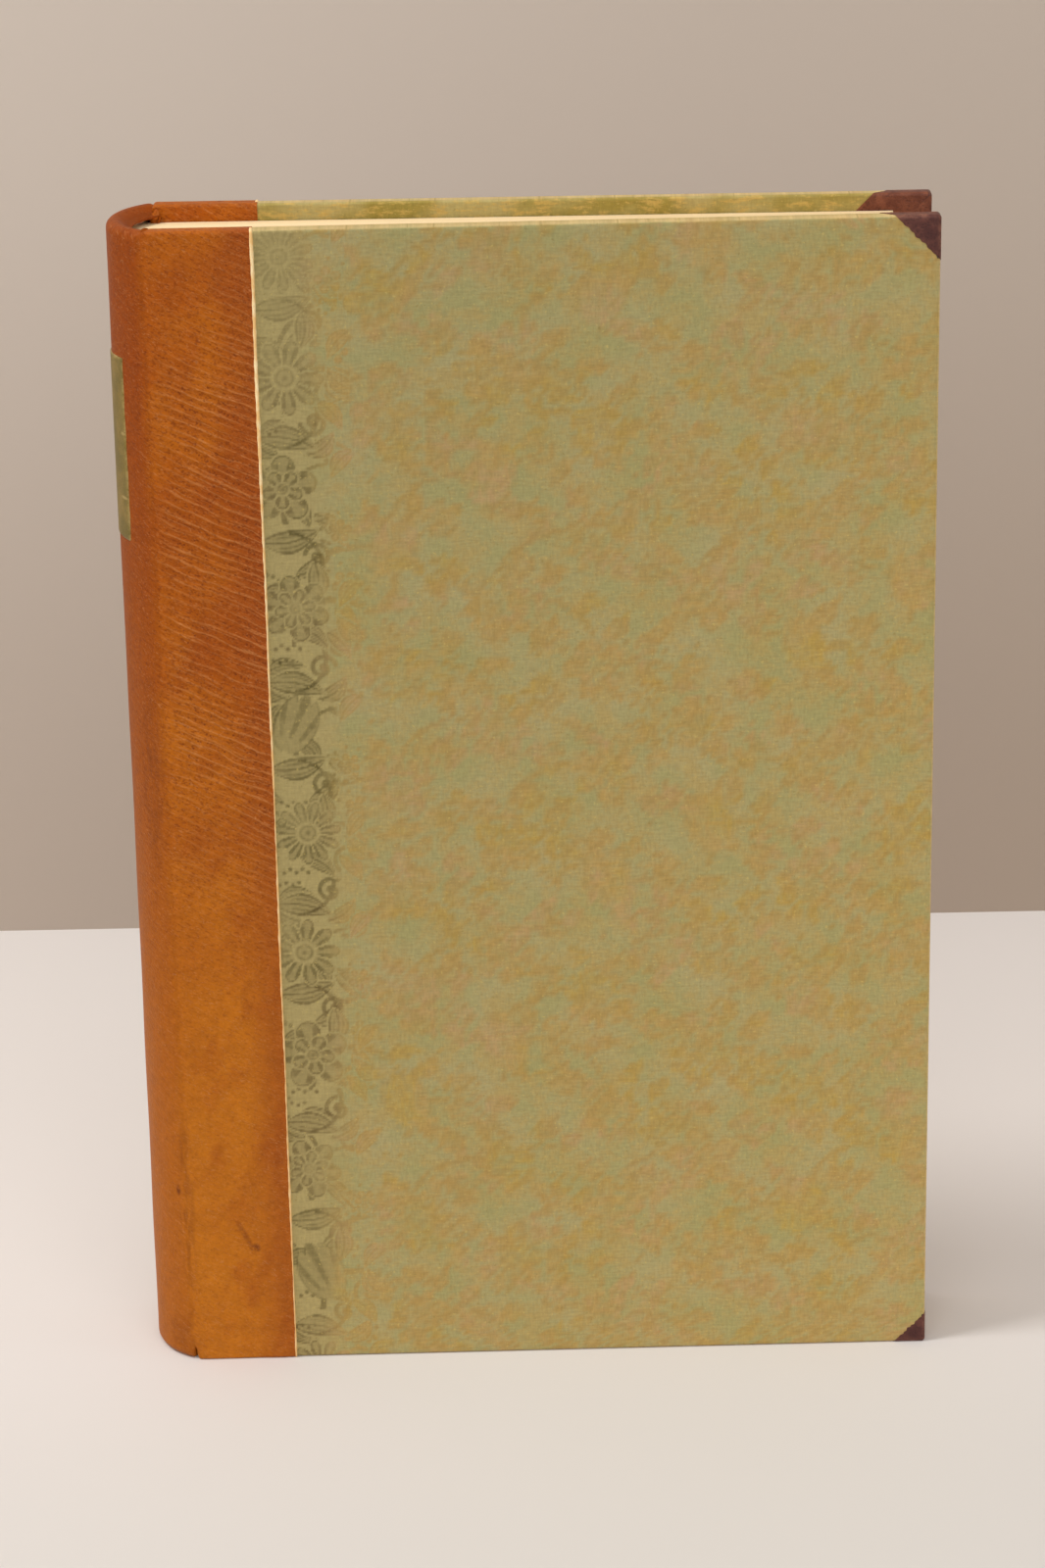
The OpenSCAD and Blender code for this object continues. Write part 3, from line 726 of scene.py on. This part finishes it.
def printed_paper():
    """Sage paper with a linen finish and a floral print, in ochre and rose gold over the board and in
    dark olive along the leather, a split that is a painted reflection of a metallic ink. Painted light
    makes it lighter towards the fore-edge and the tail, its edges pale as part wear and part painted
    highlight, and the turned-in paper darker, partly as painted shade."""
    material, n, shader = finish_material("printed sage paper", Roughness=0.72, Specular_IOR_Level=0.3)
    place = sheet_place(n)
    u, v = n.parts(place)[:2]
    fibres = place_group(n, FIBRES, Place=place)
    fill = n.add("Attribute", attribute_name="print_fill").outputs["Fac"]
    line = n.add("Attribute", attribute_name="print_line").outputs["Fac"]
    soft = n.noise(place, 95.0, 3.0, 0.55)
    # Where the painted reflection of the ink turns from gold to dark olive: a bowed line by the leather.
    bow = n.times(v, n.math("SUBTRACT", 0.22, v), 0.27)
    waver = n.times(n.math("SUBTRACT", soft, 0.5), 0.008)
    edge = n.plus(n.math("MULTIPLY_ADD", v, 0.009, 0.026), bow, waver)
    far = n.rise(n.math("SUBTRACT", u, edge), -0.003, 0.0045)
    near = n.flip(far)
    ground = n.mix(n.rise(soft, 0.3, 0.7), shade(154, 147, 96), shade(162, 151, 106))
    ochre = n.rise(n.noise(place, 190.0, 5.0, 0.72), 0.4, 0.64, 0.0, 0.6)
    ground = n.mix(ochre, ground, shade(168, 142, 80))
    ground = n.mix(near, ground, shade(163, 147, 96))
    warm = n.noise(place, 62.0, 3.0, 0.6)
    gold = n.mix(n.rise(warm, 0.38, 0.5), shade(171, 142, 66), shade(172, 141, 80))
    gold = n.mix(n.rise(warm, 0.5, 0.62), gold, shade(174, 142, 96))
    streaks = n.most(*[n.noise(n.stretch(place, size), 1.0, 2.0) for size in ((180, 900, 1), (900, 180, 1))])
    stipple = n.rise(streaks, 0.42, 0.66, 0.55, 1.1)
    strength = n.times(n.rise(n.noise(place, 120.0, 3.0, 0.6), 0.3, 0.55, 0.5, 0.9), stipple)
    laid = n.times(fill, strength, far)
    colour = n.mix(laid, ground, gold)
    colour = n.mix(n.times(line, far, 0.5), colour, shade(156, 127, 66))
    # Painted reflection: along the leather the print is painted dark olive instead of gold, and it is worn
    # away in patches.
    dark = n.times(n.plus(n.times(fill, 0.33), n.times(line, 0.54)), n.rise(v, 0.222, 0.17, 0.4, 1.0))
    wear = n.times(n.rise(n.noise(place, 700.0, 3.0, 0.6), 0.25, 0.6, 0.65, 1.0),
                   n.rise(n.noise(place, 85.0, 2.0), 0.36, 0.5, 0.65, 1.0))
    dark = n.math("MULTIPLY", n.times(dark, near), wear, clamp=True)
    dark_reflection_ink = n.mix(n.rise(n.noise(place, 60.0), 0.4, 0.6), shade(84, 73, 32), shade(98, 80, 42))
    colour = n.mix(dark, colour, dark_reflection_ink)
    # Part wear, part painted highlight: the paper is painted pale in patches along its head, tail and
    # fore-edge.
    rim = n.most(n.rise(v, 0.2196, 0.21988), n.rise(v, 0.0004, 0.00012), n.rise(u, 0.1399, 0.14025))
    rim = n.times(rim, n.rise(n.noise(place, 200.0, 4.0, 0.7), 0.3, 0.6, 0.3, 0.8))
    colour = n.mix(rim, colour, shade(204, 178, 124))
    # Partly painted shade: the turned-in paper is painted a darker olive, with pale squiggles of print over
    # it.
    inside = n.add("Attribute", attribute_name="turned_in").outputs["Fac"]
    squiggle = n.noise(n.stretch(place, (260, 700, 1)), 1.0, 4.0, 0.7)
    behind = n.mix(n.rise(n.noise(place, 60.0, 2.0), 0.4, 0.6), shade(146, 128, 50), shade(172, 156, 98))
    behind = n.mix(n.rise(squiggle, 0.48, 0.62, 0.0, 0.8), behind, shade(196, 162, 84))
    colour = n.mix(n.times(inside, 0.85), colour, behind)
    threads = n.rise(fibres["Threads"], 0.3, 0.7)
    colour = n.mix(1.0, colour, n.mix(threads, (0.9, 0.9, 0.9, 1), (1.1, 1.1, 1.1, 1)), "MULTIPLY")
    flecks = n.noise(place, 1500.0, 1.0)
    colour = n.mix(n.rise(flecks, 0.64, 0.76, 0.0, 0.5), colour, shade(190, 168, 98))
    colour = n.mix(n.rise(flecks, 0.34, 0.24, 0.0, 0.5), colour, shade(138, 122, 66))
    # Painted light: the paper is painted lighter towards the fore-edge and the tail.
    outward = n.times(n.math("SUBTRACT", u, 0.045), 3.4)
    downward = n.times(n.math("SUBTRACT", 0.2, v), 2.1)
    paler = n.math("ADD", outward, downward, clamp=True)
    colour = n.mix(1.0, colour, n.mix(paler, (1, 1, 1, 1), (1.3, 1.23, 1.14, 1)), "MULTIPLY")
    dress(n, shader, colour, 0.76, (laid, -0.16), n.plus(threads, n.times(fibres["Cloud"], 0.6)), 0.00003)
    return material


def pale_gold():
    """A pale gold line, rubbed to cream here and there."""
    material, n, shader = finish_material("pale gold line", Roughness=0.45, Metallic=0.0)
    place = sheet_place(n)
    rub = n.noise(n.stretch(place, (1500, 420, 1)), 1.0, 3.0, 0.6)
    colour = n.mix(n.rise(rub, 0.35, 0.7), shade(240, 192, 122), shade(255, 232, 182))
    height = n.parts(place)[1]
    colour = n.mix(n.rise(height, 0.2, 0.06, 0.0, 0.45), colour, shade(222, 168, 96))
    dress(n, shader, colour, 0.35, (rub, 0.2), rub, 0.00005)
    return material


def cut_pages():
    """Cut edges of many leaves: fine lines that run across the thickness of the pages."""
    material, n, shader = finish_material("cut pages", Roughness=0.8)
    place = n.add("TexCoord").outputs["Object"]
    leaves = n.noise(n.stretch(place, (9, 7200, 9)), 1.0, 2.0, 0.6)
    groups = n.noise(n.stretch(place, (4, 900, 4)), 1.0, 2.0, 0.5)
    cloud = n.noise(place, 60.0, 3.0)
    colour = n.mix(n.rise(leaves, 0.3, 0.7), shade(232, 200, 148), shade(254, 232, 188))
    colour = n.mix(n.rise(groups, 0.5, 0.75, 0.0, 0.4), colour, shade(214, 186, 140))
    colour = n.mix(n.rise(cloud, 0.4, 0.75, 0.0, 0.25), colour, shade(226, 200, 158))
    dress(n, shader, colour, 0.74, (leaves, 0.12), n.plus(leaves, groups), 0.0001)
    return material


def flat_paper(name, low, high, rough):
    """A plain paper or card with cloudy formation, seen by its place in the object."""
    material, n, shader = finish_material(name, Roughness=rough)
    place = n.add("TexCoord").outputs["Object"]
    node = n.add("Mapping")
    n.feed(node.inputs["Vector"], place)
    node.inputs["Rotation"].default_value = (math.pi / 2, 0, 0)
    fibres = place_group(n, FIBRES, Place=node.outputs[0])
    both = n.times(n.plus(fibres["Threads"], fibres["Cloud"]), 0.5)
    colour = n.mix(n.rise(both, 0.2, 0.8), low, high)
    colour = n.mix(n.rise(n.noise(place, 30.0, 3.0), 0.45, 0.8, 0.0, 0.3), colour, low)
    dress(n, shader, colour, rough - 0.05, (fibres["Cloud"], 0.1), both, 0.00004)
    return material


def woven(name, low, high):
    """Linen thread: a fine weave of two crossed waves."""
    material, n, shader = finish_material(name, Roughness=0.85)
    place = n.add("TexCoord").outputs["Object"]
    x, y, z = n.parts(place)
    over = n.math("SINE", n.times(z, 9000.0))
    under = n.math("SINE", n.times(n.plus(x, y), 9000.0))
    weave = n.times(over, under)
    hair = n.noise(place, 1800.0, 3.0)
    height = n.plus(n.times(weave, 0.5), hair)
    dress(n, shader, n.mix(n.rise(height, -0.2, 1.1), low, high), 0.78, (hair, 0.12), height, 0.0001)
    return material


def wound_silk():
    """Silk thread wound in two colours; the piece's own attribute says which thread is on top."""
    material, n, shader = finish_material("wound silk", Roughness=0.4, Sheen_Weight=0.3)
    place = sheet_place(n)
    thread = n.add("Attribute", attribute_name="thread").outputs["Fac"]
    hair = n.noise(n.stretch(place, (700, 9000, 1)), 1.0, 2.0)
    rose, cream = shade(196, 128, 104), shade(240, 214, 178)
    colour = n.mix(thread, rose, cream)
    colour = n.mix(n.rise(hair, 0.35, 0.7, 0.0, 0.35), colour, shade(250, 236, 214))
    dress(n, shader, colour, 0.34, (hair, 0.16), hair, 0.00005)
    return material


TAN = tan_calf()
OXBLOOD = corner_calf()
OLIVE = label_calf()
PRINTED = printed_paper()
GOLD_LINE = pale_gold()
PAGES = cut_pages()
ENDPAPER = flat_paper("cream endpaper", shade(230, 213, 182), shade(240, 225, 197), 0.75)
KRAFT = flat_paper("kraft tube paper", shade(148, 112, 76), shade(170, 134, 94), 0.8)
GREY_BOARD = flat_paper("grey board", shade(122, 114, 102), shade(146, 138, 124), 0.9)
LINEN = woven("linen", shade(186, 170, 138), shade(216, 204, 176))
SILK = wound_silk()

CAD_FINISHES = {
    PAGES: ["text_block"],
    ENDPAPER: ["front_flyleaf", "back_flyleaf", "front_pastedown", "back_pastedown"],
    GREY_BOARD: ["front_board", "back_board", "front_infill", "back_infill"],
    KRAFT: ["hollow_tube"],
    LINEN: ["spine_lining", "front_cord_ends", "back_cord_ends", "sewing_support_1", "sewing_support_2",
            "sewing_support_3", "sewing_support_4"],
}
for material, names in CAD_FINISHES.items():
    for name in names:
        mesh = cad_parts[name].data
        mesh.materials.clear()
        mesh.materials.append(material)


# ---------------------------------------------------------------- leather over the back and the joints


def cover_body(side):
    return "front_cover" if side == FRONT else "back_cover"


def cover_name(side, what):
    return ("front_" if side == FRONT else "back_") + what


def skin_piece(name, s):
    """Leather over the back for a row of distances s."""
    outer, sheet = leather_grid(s)
    return sheet_piece(name, outer, outer - grid_normals(outer) * SKIN_T, sheet, TAN, "tan_leather")


back_s = spread((-S_SHOULDER, -S_SHOULDER + 2, 0.14), (-S_SHOULDER + 2, S_SHOULDER - 2, 0.5),
                (S_SHOULDER - 2, S_SHOULDER, 0.14))
back_skin = skin_piece("spine_skin", back_s)
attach(back_skin, "block")
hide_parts("spine_leather")

for side in (FRONT, BACK):
    s = spread((S_SHOULDER, S_BOARD + 1.5, 0.12), (S_BOARD + 1.5, S_SKIN_END, 0.7))
    skin = skin_piece(cover_name(side, "side_skin"), s if side == FRONT else -s[::-1])
    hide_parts(cover_name(side, "side_leather"))
    y = -HALF_T * side * MM
    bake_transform(skin)


# ---------------------------------------------------------------- the pale line over the seam


def line_grid():
    """The line over the seam: across it a low arch, steeper on the paper's side; along it the face of
    the cover and the rounded edge at head and tail, with the arch square to both. It wanders by
    sines and widens to the head."""
    drop, depth = (path[:9] for path in turned_over_board())
    turn = np.minimum(np.arange(9), 5) * math.pi / 10
    body = spread((0, 220, 0.7))[1:-1] / BOOK_H
    z = np.concatenate([drop[::-1], drop[0] + (BOOK_H - 2 * drop[0]) * body, BOOK_H - drop])[:, None]
    d = np.concatenate([depth[::-1], 0 * body, depth])[:, None]
    facing = np.concatenate([turn[::-1], 0 * body, turn])[:, None]
    upward = np.where(z > MID_H, 1, -1)
    across = np.linspace(0, 1, 9)[None, :]
    rough = 0.05 * np.sin(z * 0.9 + 2) * np.sin(z * 0.31) + 0.035 * np.sin(z * 2.3)
    left = 19.66 - 0.34 * smooth(z, 110, 217) + 0.06 * np.sin(z * 0.13) + rough
    right = 20.02 + 0.04 * np.sin(z * 0.21 + 1) - 0.5 * rough
    u = left + (right - left) * across
    lift = 0.12 * np.sin(math.pi * np.clip(across * 1.1, 0, 1)) ** 0.6 - 0.04 - 0.3 * smooth(across, 0.7, 1)
    flat = np.stack([u, z + 0 * u], -1)
    return u, np.maximum(z + lift * np.sin(facing) * upward, 0.0), d - lift * np.cos(facing), flat


for side in (FRONT, BACK):
    u, z, d, flat = line_grid()
    outer = on_cover(u, z, d, side)
    inner = on_cover(u, np.clip(z, 0.4, BOOK_H - 0.4), d + 0.35, side)
    line = sheet_piece(cover_name(side, "gold_line"), outer, inner, flat, GOLD_LINE, "gilt", side)
    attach(line, cover_body(side))
    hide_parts(cover_name(side, "edge_line"))


# ---------------------------------------------------------------- printed paper over the boards


PAPER_EDGE_U, PAPER_Z = FORE_U - 0.1, 0.1
LEGS = {"tail": 6.1, "head": 8.1}


def paper_over_edge(skin):
    """The path of the paper over an edge of the board, a little inside the path of the leather."""
    return turned_over_board(3.0, 0.5, 12.3, skin)


def folded_rows(step, skin):
    """Heights and depths of paper from the tail's turned-in end, over the tail edge, up the face, and
    over the head edge to the other turned-in end."""
    drop, depth = paper_over_edge(skin)
    body = np.linspace(drop[0], 219.8 - drop[0], int(220 / step))[1:-1]
    z = np.concatenate([drop[::-1], body, 219.8 - drop]) + PAPER_Z
    return z, np.concatenate([depth[::-1], 0 * body + skin, depth]) + 0.3


def paper_strip(skin):
    """The paper beside the leather, full height: a plain grid of u and the folded rows."""
    u = np.linspace(19.7, STRIP_U, 65)[None, :]
    z, d = folded_rows(0.33, skin)
    return u + 0 * z[:, None], z[:, None] + 0 * u, d[:, None] + 0 * u


def paper_middle(skin):
    """The paper between the corners: u runs over the fore-edge to the turned-in end, whose ends are
    cut back at 45 degrees; rows share out the height between the cuts."""
    drop, depth = paper_over_edge(skin)
    face = np.linspace(STRIP_U, PAPER_EDGE_U - drop[0], 106)[:-1]
    u = np.concatenate([face, PAPER_EDGE_U - drop])[None, :]
    d = np.concatenate([0 * face + skin, depth])[None, :] + 0.3
    slant = np.where(depth > 1.5, 2.4 * (depth > 2.4) + drop * (depth > 2.8), 0)
    cut = np.concatenate([0 * face, slant])[None, :]
    low, high = LEGS["tail"] - 0.3 + cut, BOOK_H - LEGS["head"] + 0.3 - cut
    z = low + (high - low) * np.linspace(0, 1, 206)[:, None]
    return u + 0 * z, z, d + 0 * z


def paper_end(skin, leg, head):
    """The paper beside a corner: rows run over the head or tail edge, and columns share out the
    width up to the corner's slanted edge."""
    drop, depth = paper_over_edge(skin)
    low = leg - 0.3
    body = np.linspace(low, drop[0] + PAPER_Z, 8)[:-1]
    b = np.concatenate([body, drop + PAPER_Z])
    d = np.concatenate([0 * body + skin, depth])[:, None] + 0.3
    up = b[:, None]
    cut = np.where(d > 1.8, leg + 2.4 * (d > 2.7) + up * (d > 3.1), leg - np.minimum(up, leg))
    far = np.minimum(FORE_U - cut + 0.3, PAPER_EDGE_U - 0.6)
    u = STRIP_U + (far - STRIP_U) * np.linspace(0, 1, 100)[None, :]
    z = BOOK_H - b if head else b
    if head:
        return u, z[:, None] + 0 * u, d + 0 * u
    return u[::-1], (z[:, None] + 0 * u)[::-1], (d + 0 * u)[::-1]


PAPER_PARTS = {
    "strip": [paper_strip],
    "field": [
        paper_middle,
        lambda skin: paper_end(skin, LEGS["head"], True),
        lambda skin: paper_end(skin, LEGS["tail"], False),
    ],
}
for part, makers in PAPER_PARTS.items():
    outs = [make(0.0) for make in makers]
    ins = [make(0.24) for make in makers]
    flats = [np.stack([u, z], -1).reshape(-1, 2) for u, z, d in outs]
    prints = [draw_print(f[:, 0], f[:, 1]) for f in flats]
    sheet = np.concatenate([f for f in flats for _ in (0, 1)])
    extra = {
        "print_fill": np.concatenate([a for fill, _ in prints for a in (fill, fill)]),
        "print_line": np.concatenate([a for _, line in prints for a in (line, line)]),
        "turned_in": np.concatenate([smooth(d, 2.2, 3.0).ravel() for _, _, d in outs for _ in (0, 1)]),
    }
    for side in (FRONT, BACK):
        shells = []
        for (u, z, d), (u2, z2, d2) in zip(outs, ins):
            points, faces = leaf_shell(on_cover(u, z, d, side), on_cover(u2, z2, d2, side))
            shells.append((points, faces if side == FRONT else faces[:, ::-1]))
        paper = make_piece(cover_name(side, "paper_" + part), shells, PRINTED, "printed_paper", sheet, extra)
        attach(paper, cover_body(side))
        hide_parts(cover_name(side, "side_paper"))


# ---------------------------------------------------------------- leather corners


CORNER_R = 0.7


def corner_grid(leg, skin):
    """A leather corner: a ruled patch from the slanted, slightly frayed edge on the face to the
    rounded outline of the board, folded over the edge, and turned in behind up to its two slanted
    ends. a is the distance from the fore-edge and b from the head; both come back with the depth,
    and with the place on the skin laid flat."""
    drop, depth = turned_over_board(3.2, 0.6, 12.4, skin)
    depth = depth + 0.2
    travel = np.concatenate([[0], np.cumsum(np.hypot(np.diff(drop), np.diff(depth)))])
    share = np.linspace(0, 1, 14)
    q = np.linspace(math.pi / 2, 0, 9)
    out_a = np.concatenate([0 * share[:-1], np.cos(q), 1 + 0 * share[1:]])
    out_b = np.concatenate([1 + 0 * share[:-1], np.sin(q), 0 * share[1:]])
    rows, flats = [], []
    for d, t, gone in zip(drop, depth, travel):
        end = leg - min(d, leg) if t < 1.0 else leg + 2.4 * smooth(t, 1.0, 3.2) + (d if t > 3.0 else 0)
        bend = max(CORNER_R, d)
        r = max(CORNER_R - d, 0.0)
        a = np.concatenate([end + (bend - end) * share[:-1], bend - r * np.cos(q), d + 0 * share[1:]])
        b = np.concatenate([d + 0 * share[:-1], bend - r * np.sin(q), bend + (end - bend) * share[1:]])
        rows.append(np.stack([a, b, t + 0 * a], -1))
        laid_a, laid_b = np.where(out_a > 0.99, 0.6 - gone, a), np.where(out_b > 0.99, 0.6 - gone, b)
        flats.append(np.stack([laid_a, laid_b], -1))
    first = rows[0]
    f = np.linspace(0, 1, len(first))[:, None]
    slant = first[0] + (first[-1] - first[0]) * f
    fray = (0.08 * np.sin(f * 17) + 0.09 * np.sin(f * 43 + 1)) * np.sin(math.pi * f)
    face = []
    for k in np.linspace(0, 1, 8)[:-1]:
        row = slant + (first - slant) * k
        row = row + np.concatenate([fray, fray, 0 * fray], 1) * (1 - k)
        face.append(row)
    return np.array(face + rows), np.array([row[:, :2] for row in face] + flats)


for side in (FRONT, BACK):
    for end, leg in LEGS.items():
        sheets = [corner_grid(leg, skin) for skin in (0.0, 0.3)]
        grids = []
        for g, _ in sheets:
            z = g[..., 1] if end == "tail" else BOOK_H - g[..., 1]
            grids.append(on_cover(FORE_U - g[..., 0], z, g[..., 2], side))
        flat = sheets[0][1] * (-1, 1) + (FORE_U, 0)
        if end == "head":
            flat[..., 1] = BOOK_H - flat[..., 1]
        corner = sheet_piece(cover_name(side, end + "_corner_skin"), *grids, flat, OXBLOOD,
                             "corner_leather", merge=True)
        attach(corner, cover_body(side))
        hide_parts(cover_name(side, end + "_corner"))


# ---------------------------------------------------------------- label and endbands


LABEL_HALF_W, LABEL_LOW, LABEL_HIGH = 8.7, 162.5, 196.5
THREAD = 0.36
BAND_SIDES, BAND_STEPS = 17, 420


def label_grid(depth_of_top):
    """The label on the back: flat in the middle, pared to nothing over the last 0.5 mm of each side."""
    s = np.linspace(-LABEL_HALF_W, LABEL_HALF_W, 60)[None, :]
    z = np.linspace(LABEL_LOW, LABEL_HIGH, 90)[:, None]
    away = np.minimum(LABEL_HALF_W - np.abs(s), np.minimum(z - LABEL_LOW, LABEL_HIGH - z))
    depth = 0.1 - (0.1 + depth_of_top) * smooth(away, -0.1, 0.45)
    wave = 0.05 * np.sin(z * 0.8) * (np.abs(s) > 8.2)
    s, z = s + 0 * z, z + 0 * s
    return on_leather(s * (1 + wave / LABEL_HALF_W), z, depth), np.stack([s, z], -1)


outer, flat = label_grid(0.25)
inner, _ = label_grid(-0.18)
label = sheet_piece("label_skin", outer, inner, flat, OLIVE, "label_leather")
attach(label, "block")
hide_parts("spine_label")


def endband_tube(middle_z):
    """A silk band: a tube bent round the back, whose radius swells over each thread by a sine."""
    arc, half, core = SPINE_R - 2.5, math.radians(47.5), 0.84
    q = np.linspace(-half, half, BAND_STEPS)[:, None]
    w = np.linspace(0, 2 * math.pi, BAND_SIDES)[None, :]
    along = q * arc
    r = core + 0.06 * np.abs(np.sin(along * math.pi / THREAD + 0.5 * w))
    ends = np.sqrt(np.clip((half - np.abs(q)) * arc / 0.8, 0, 1))
    reach = arc + r * ends * np.cos(w)
    points = np.stack([SPINE_X - reach * np.cos(q), -reach * np.sin(q), middle_z + r * ends * np.sin(w)], -1)
    flat = np.stack([along + 0 * w, w * core + 0 * q], -1)
    thread = (np.floor((along + 0.5 * w * THREAD / math.pi) / THREAD / 4) % 2) + 0 * w
    faces = grid_faces(BAND_STEPS, BAND_SIDES, flip=True)
    return points.reshape(-1, 3), faces, flat.reshape(-1, 2), thread.ravel()


for end, z in (("head", 217.8), ("tail", 2.2)):
    points, faces, flat, thread = endband_tube(z)
    band = make_piece(end + "_band", [(points, faces)], SILK, "silk", flat, {"thread": thread}, merge=True)
    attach(band, "block")
    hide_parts(end + "_endband")


# ---------------------------------------------------------------- floor, backdrop, camera and light


def stage_plane(name, corners, material):
    mesh = bpy.data.meshes.new(name)
    mesh.from_pydata(corners, [], [(0, 1, 2, 3)])
    mesh.materials.append(material)
    plane = bpy.data.objects.new(name, mesh)
    bpy.context.scene.collection.objects.link(plane)
    return plane


floor_stuff, n, shader = finish_material("pale table", Roughness=0.7)
place = n.add("TexCoord").outputs["Object"]
cloud = n.noise(place, 3.0, 3.0)
table = n.mix(n.rise(cloud, 0.35, 0.65), shade(208, 204, 200), shade(212, 209, 205))
# Painted light: the table is painted lighter towards the back.
table = n.mix(n.rise(n.parts(place)[1], -0.2, 0.08), table, shade(232, 226, 222))
n.feed(shader.inputs["Base Color"], table)
stage_plane("floor", [(-4, -4, 0), (4, -4, 0), (4, 4, 0), (-4, 4, 0)], floor_stuff)

wall_stuff, n, shader = finish_material("tan backdrop", Roughness=0.9)
x, y, z = n.parts(n.add("TexCoord").outputs["Object"])
# Painted light: the backdrop is painted lighter towards the top and the left.
painted_wall_light = n.plus(n.rise(z, 0.0, 0.25, 0.0, 0.6), n.rise(x, 0.16, -0.16, 0.0, 0.4))
n.feed(shader.inputs["Base Color"], n.mix(painted_wall_light, shade(169, 152, 137), shade(204, 192, 181)))
see = n.add("BsdfTransparent")
turn = n.add("MixShader")
n.feed(turn.inputs[0], n.add("NewGeometry").outputs["Backfacing"])
n.feed(turn.inputs[1], shader.outputs[0])
n.feed(turn.inputs[2], see.outputs[0])
n.feed(n.tree.nodes["Material Output"].inputs["Surface"], turn.outputs[0])
wall = stage_plane("backdrop", [(-3, 0.209, 0), (3, 0.209, 0), (3, 0.209, 2), (-3, 0.209, 2)], wall_stuff)
wall.visible_shadow = False

scene = bpy.context.scene
scene.view_settings.view_transform = "Standard"

world = bpy.data.worlds.new("studio")
world.use_nodes = True
world.node_tree.nodes["Background"].inputs[0].default_value = (1, 0.985, 0.96, 1)
world.node_tree.nodes["Background"].inputs[1].default_value = 0.65
scene.world = world


def area_light(name, place, aim, size, power, colour):
    light = bpy.data.lights.new(name, "AREA")
    light.shape, light.size, light.energy, light.color = "DISK", size, power, colour
    lamp = bpy.data.objects.new(name, light)
    scene.collection.objects.link(lamp)
    lamp.location = place
    lamp.rotation_euler = (Vector(aim) - Vector(place)).to_track_quat("-Z", "Y").to_euler()


area_light("key", (0.15, -1.8, 1.6), (0, 0, 0.11), 2.4, 15.5, (1, 0.99, 0.975))
area_light("left light", (-0.7, -0.22, 1.25), (0, 0, 0.11), 0.36, 8.0, (1, 0.99, 0.975))

pitch, yaw, roll = 0.3526, 0.0005, -0.0191
forward = Vector((math.sin(yaw) * math.cos(pitch), math.cos(yaw) * math.cos(pitch), -math.sin(pitch)))
right = Vector((math.cos(yaw), -math.sin(yaw), 0))
up = right.cross(forward)
right, up = math.cos(roll) * right + math.sin(roll) * up, math.cos(roll) * up - math.sin(roll) * right
lens = bpy.data.cameras.new("camera")
lens.sensor_fit, lens.sensor_width, lens.lens = "AUTO", 36.0, 101.18
lens.clip_start, lens.clip_end = 0.01, 50
camera = bpy.data.objects.new("camera", lens)
scene.collection.objects.link(camera)
camera.matrix_world = Matrix((right, up, -forward)).transposed().to_4x4()
camera.location = (-0.0018207, -0.7668564, 0.3938858)
scene.camera = camera
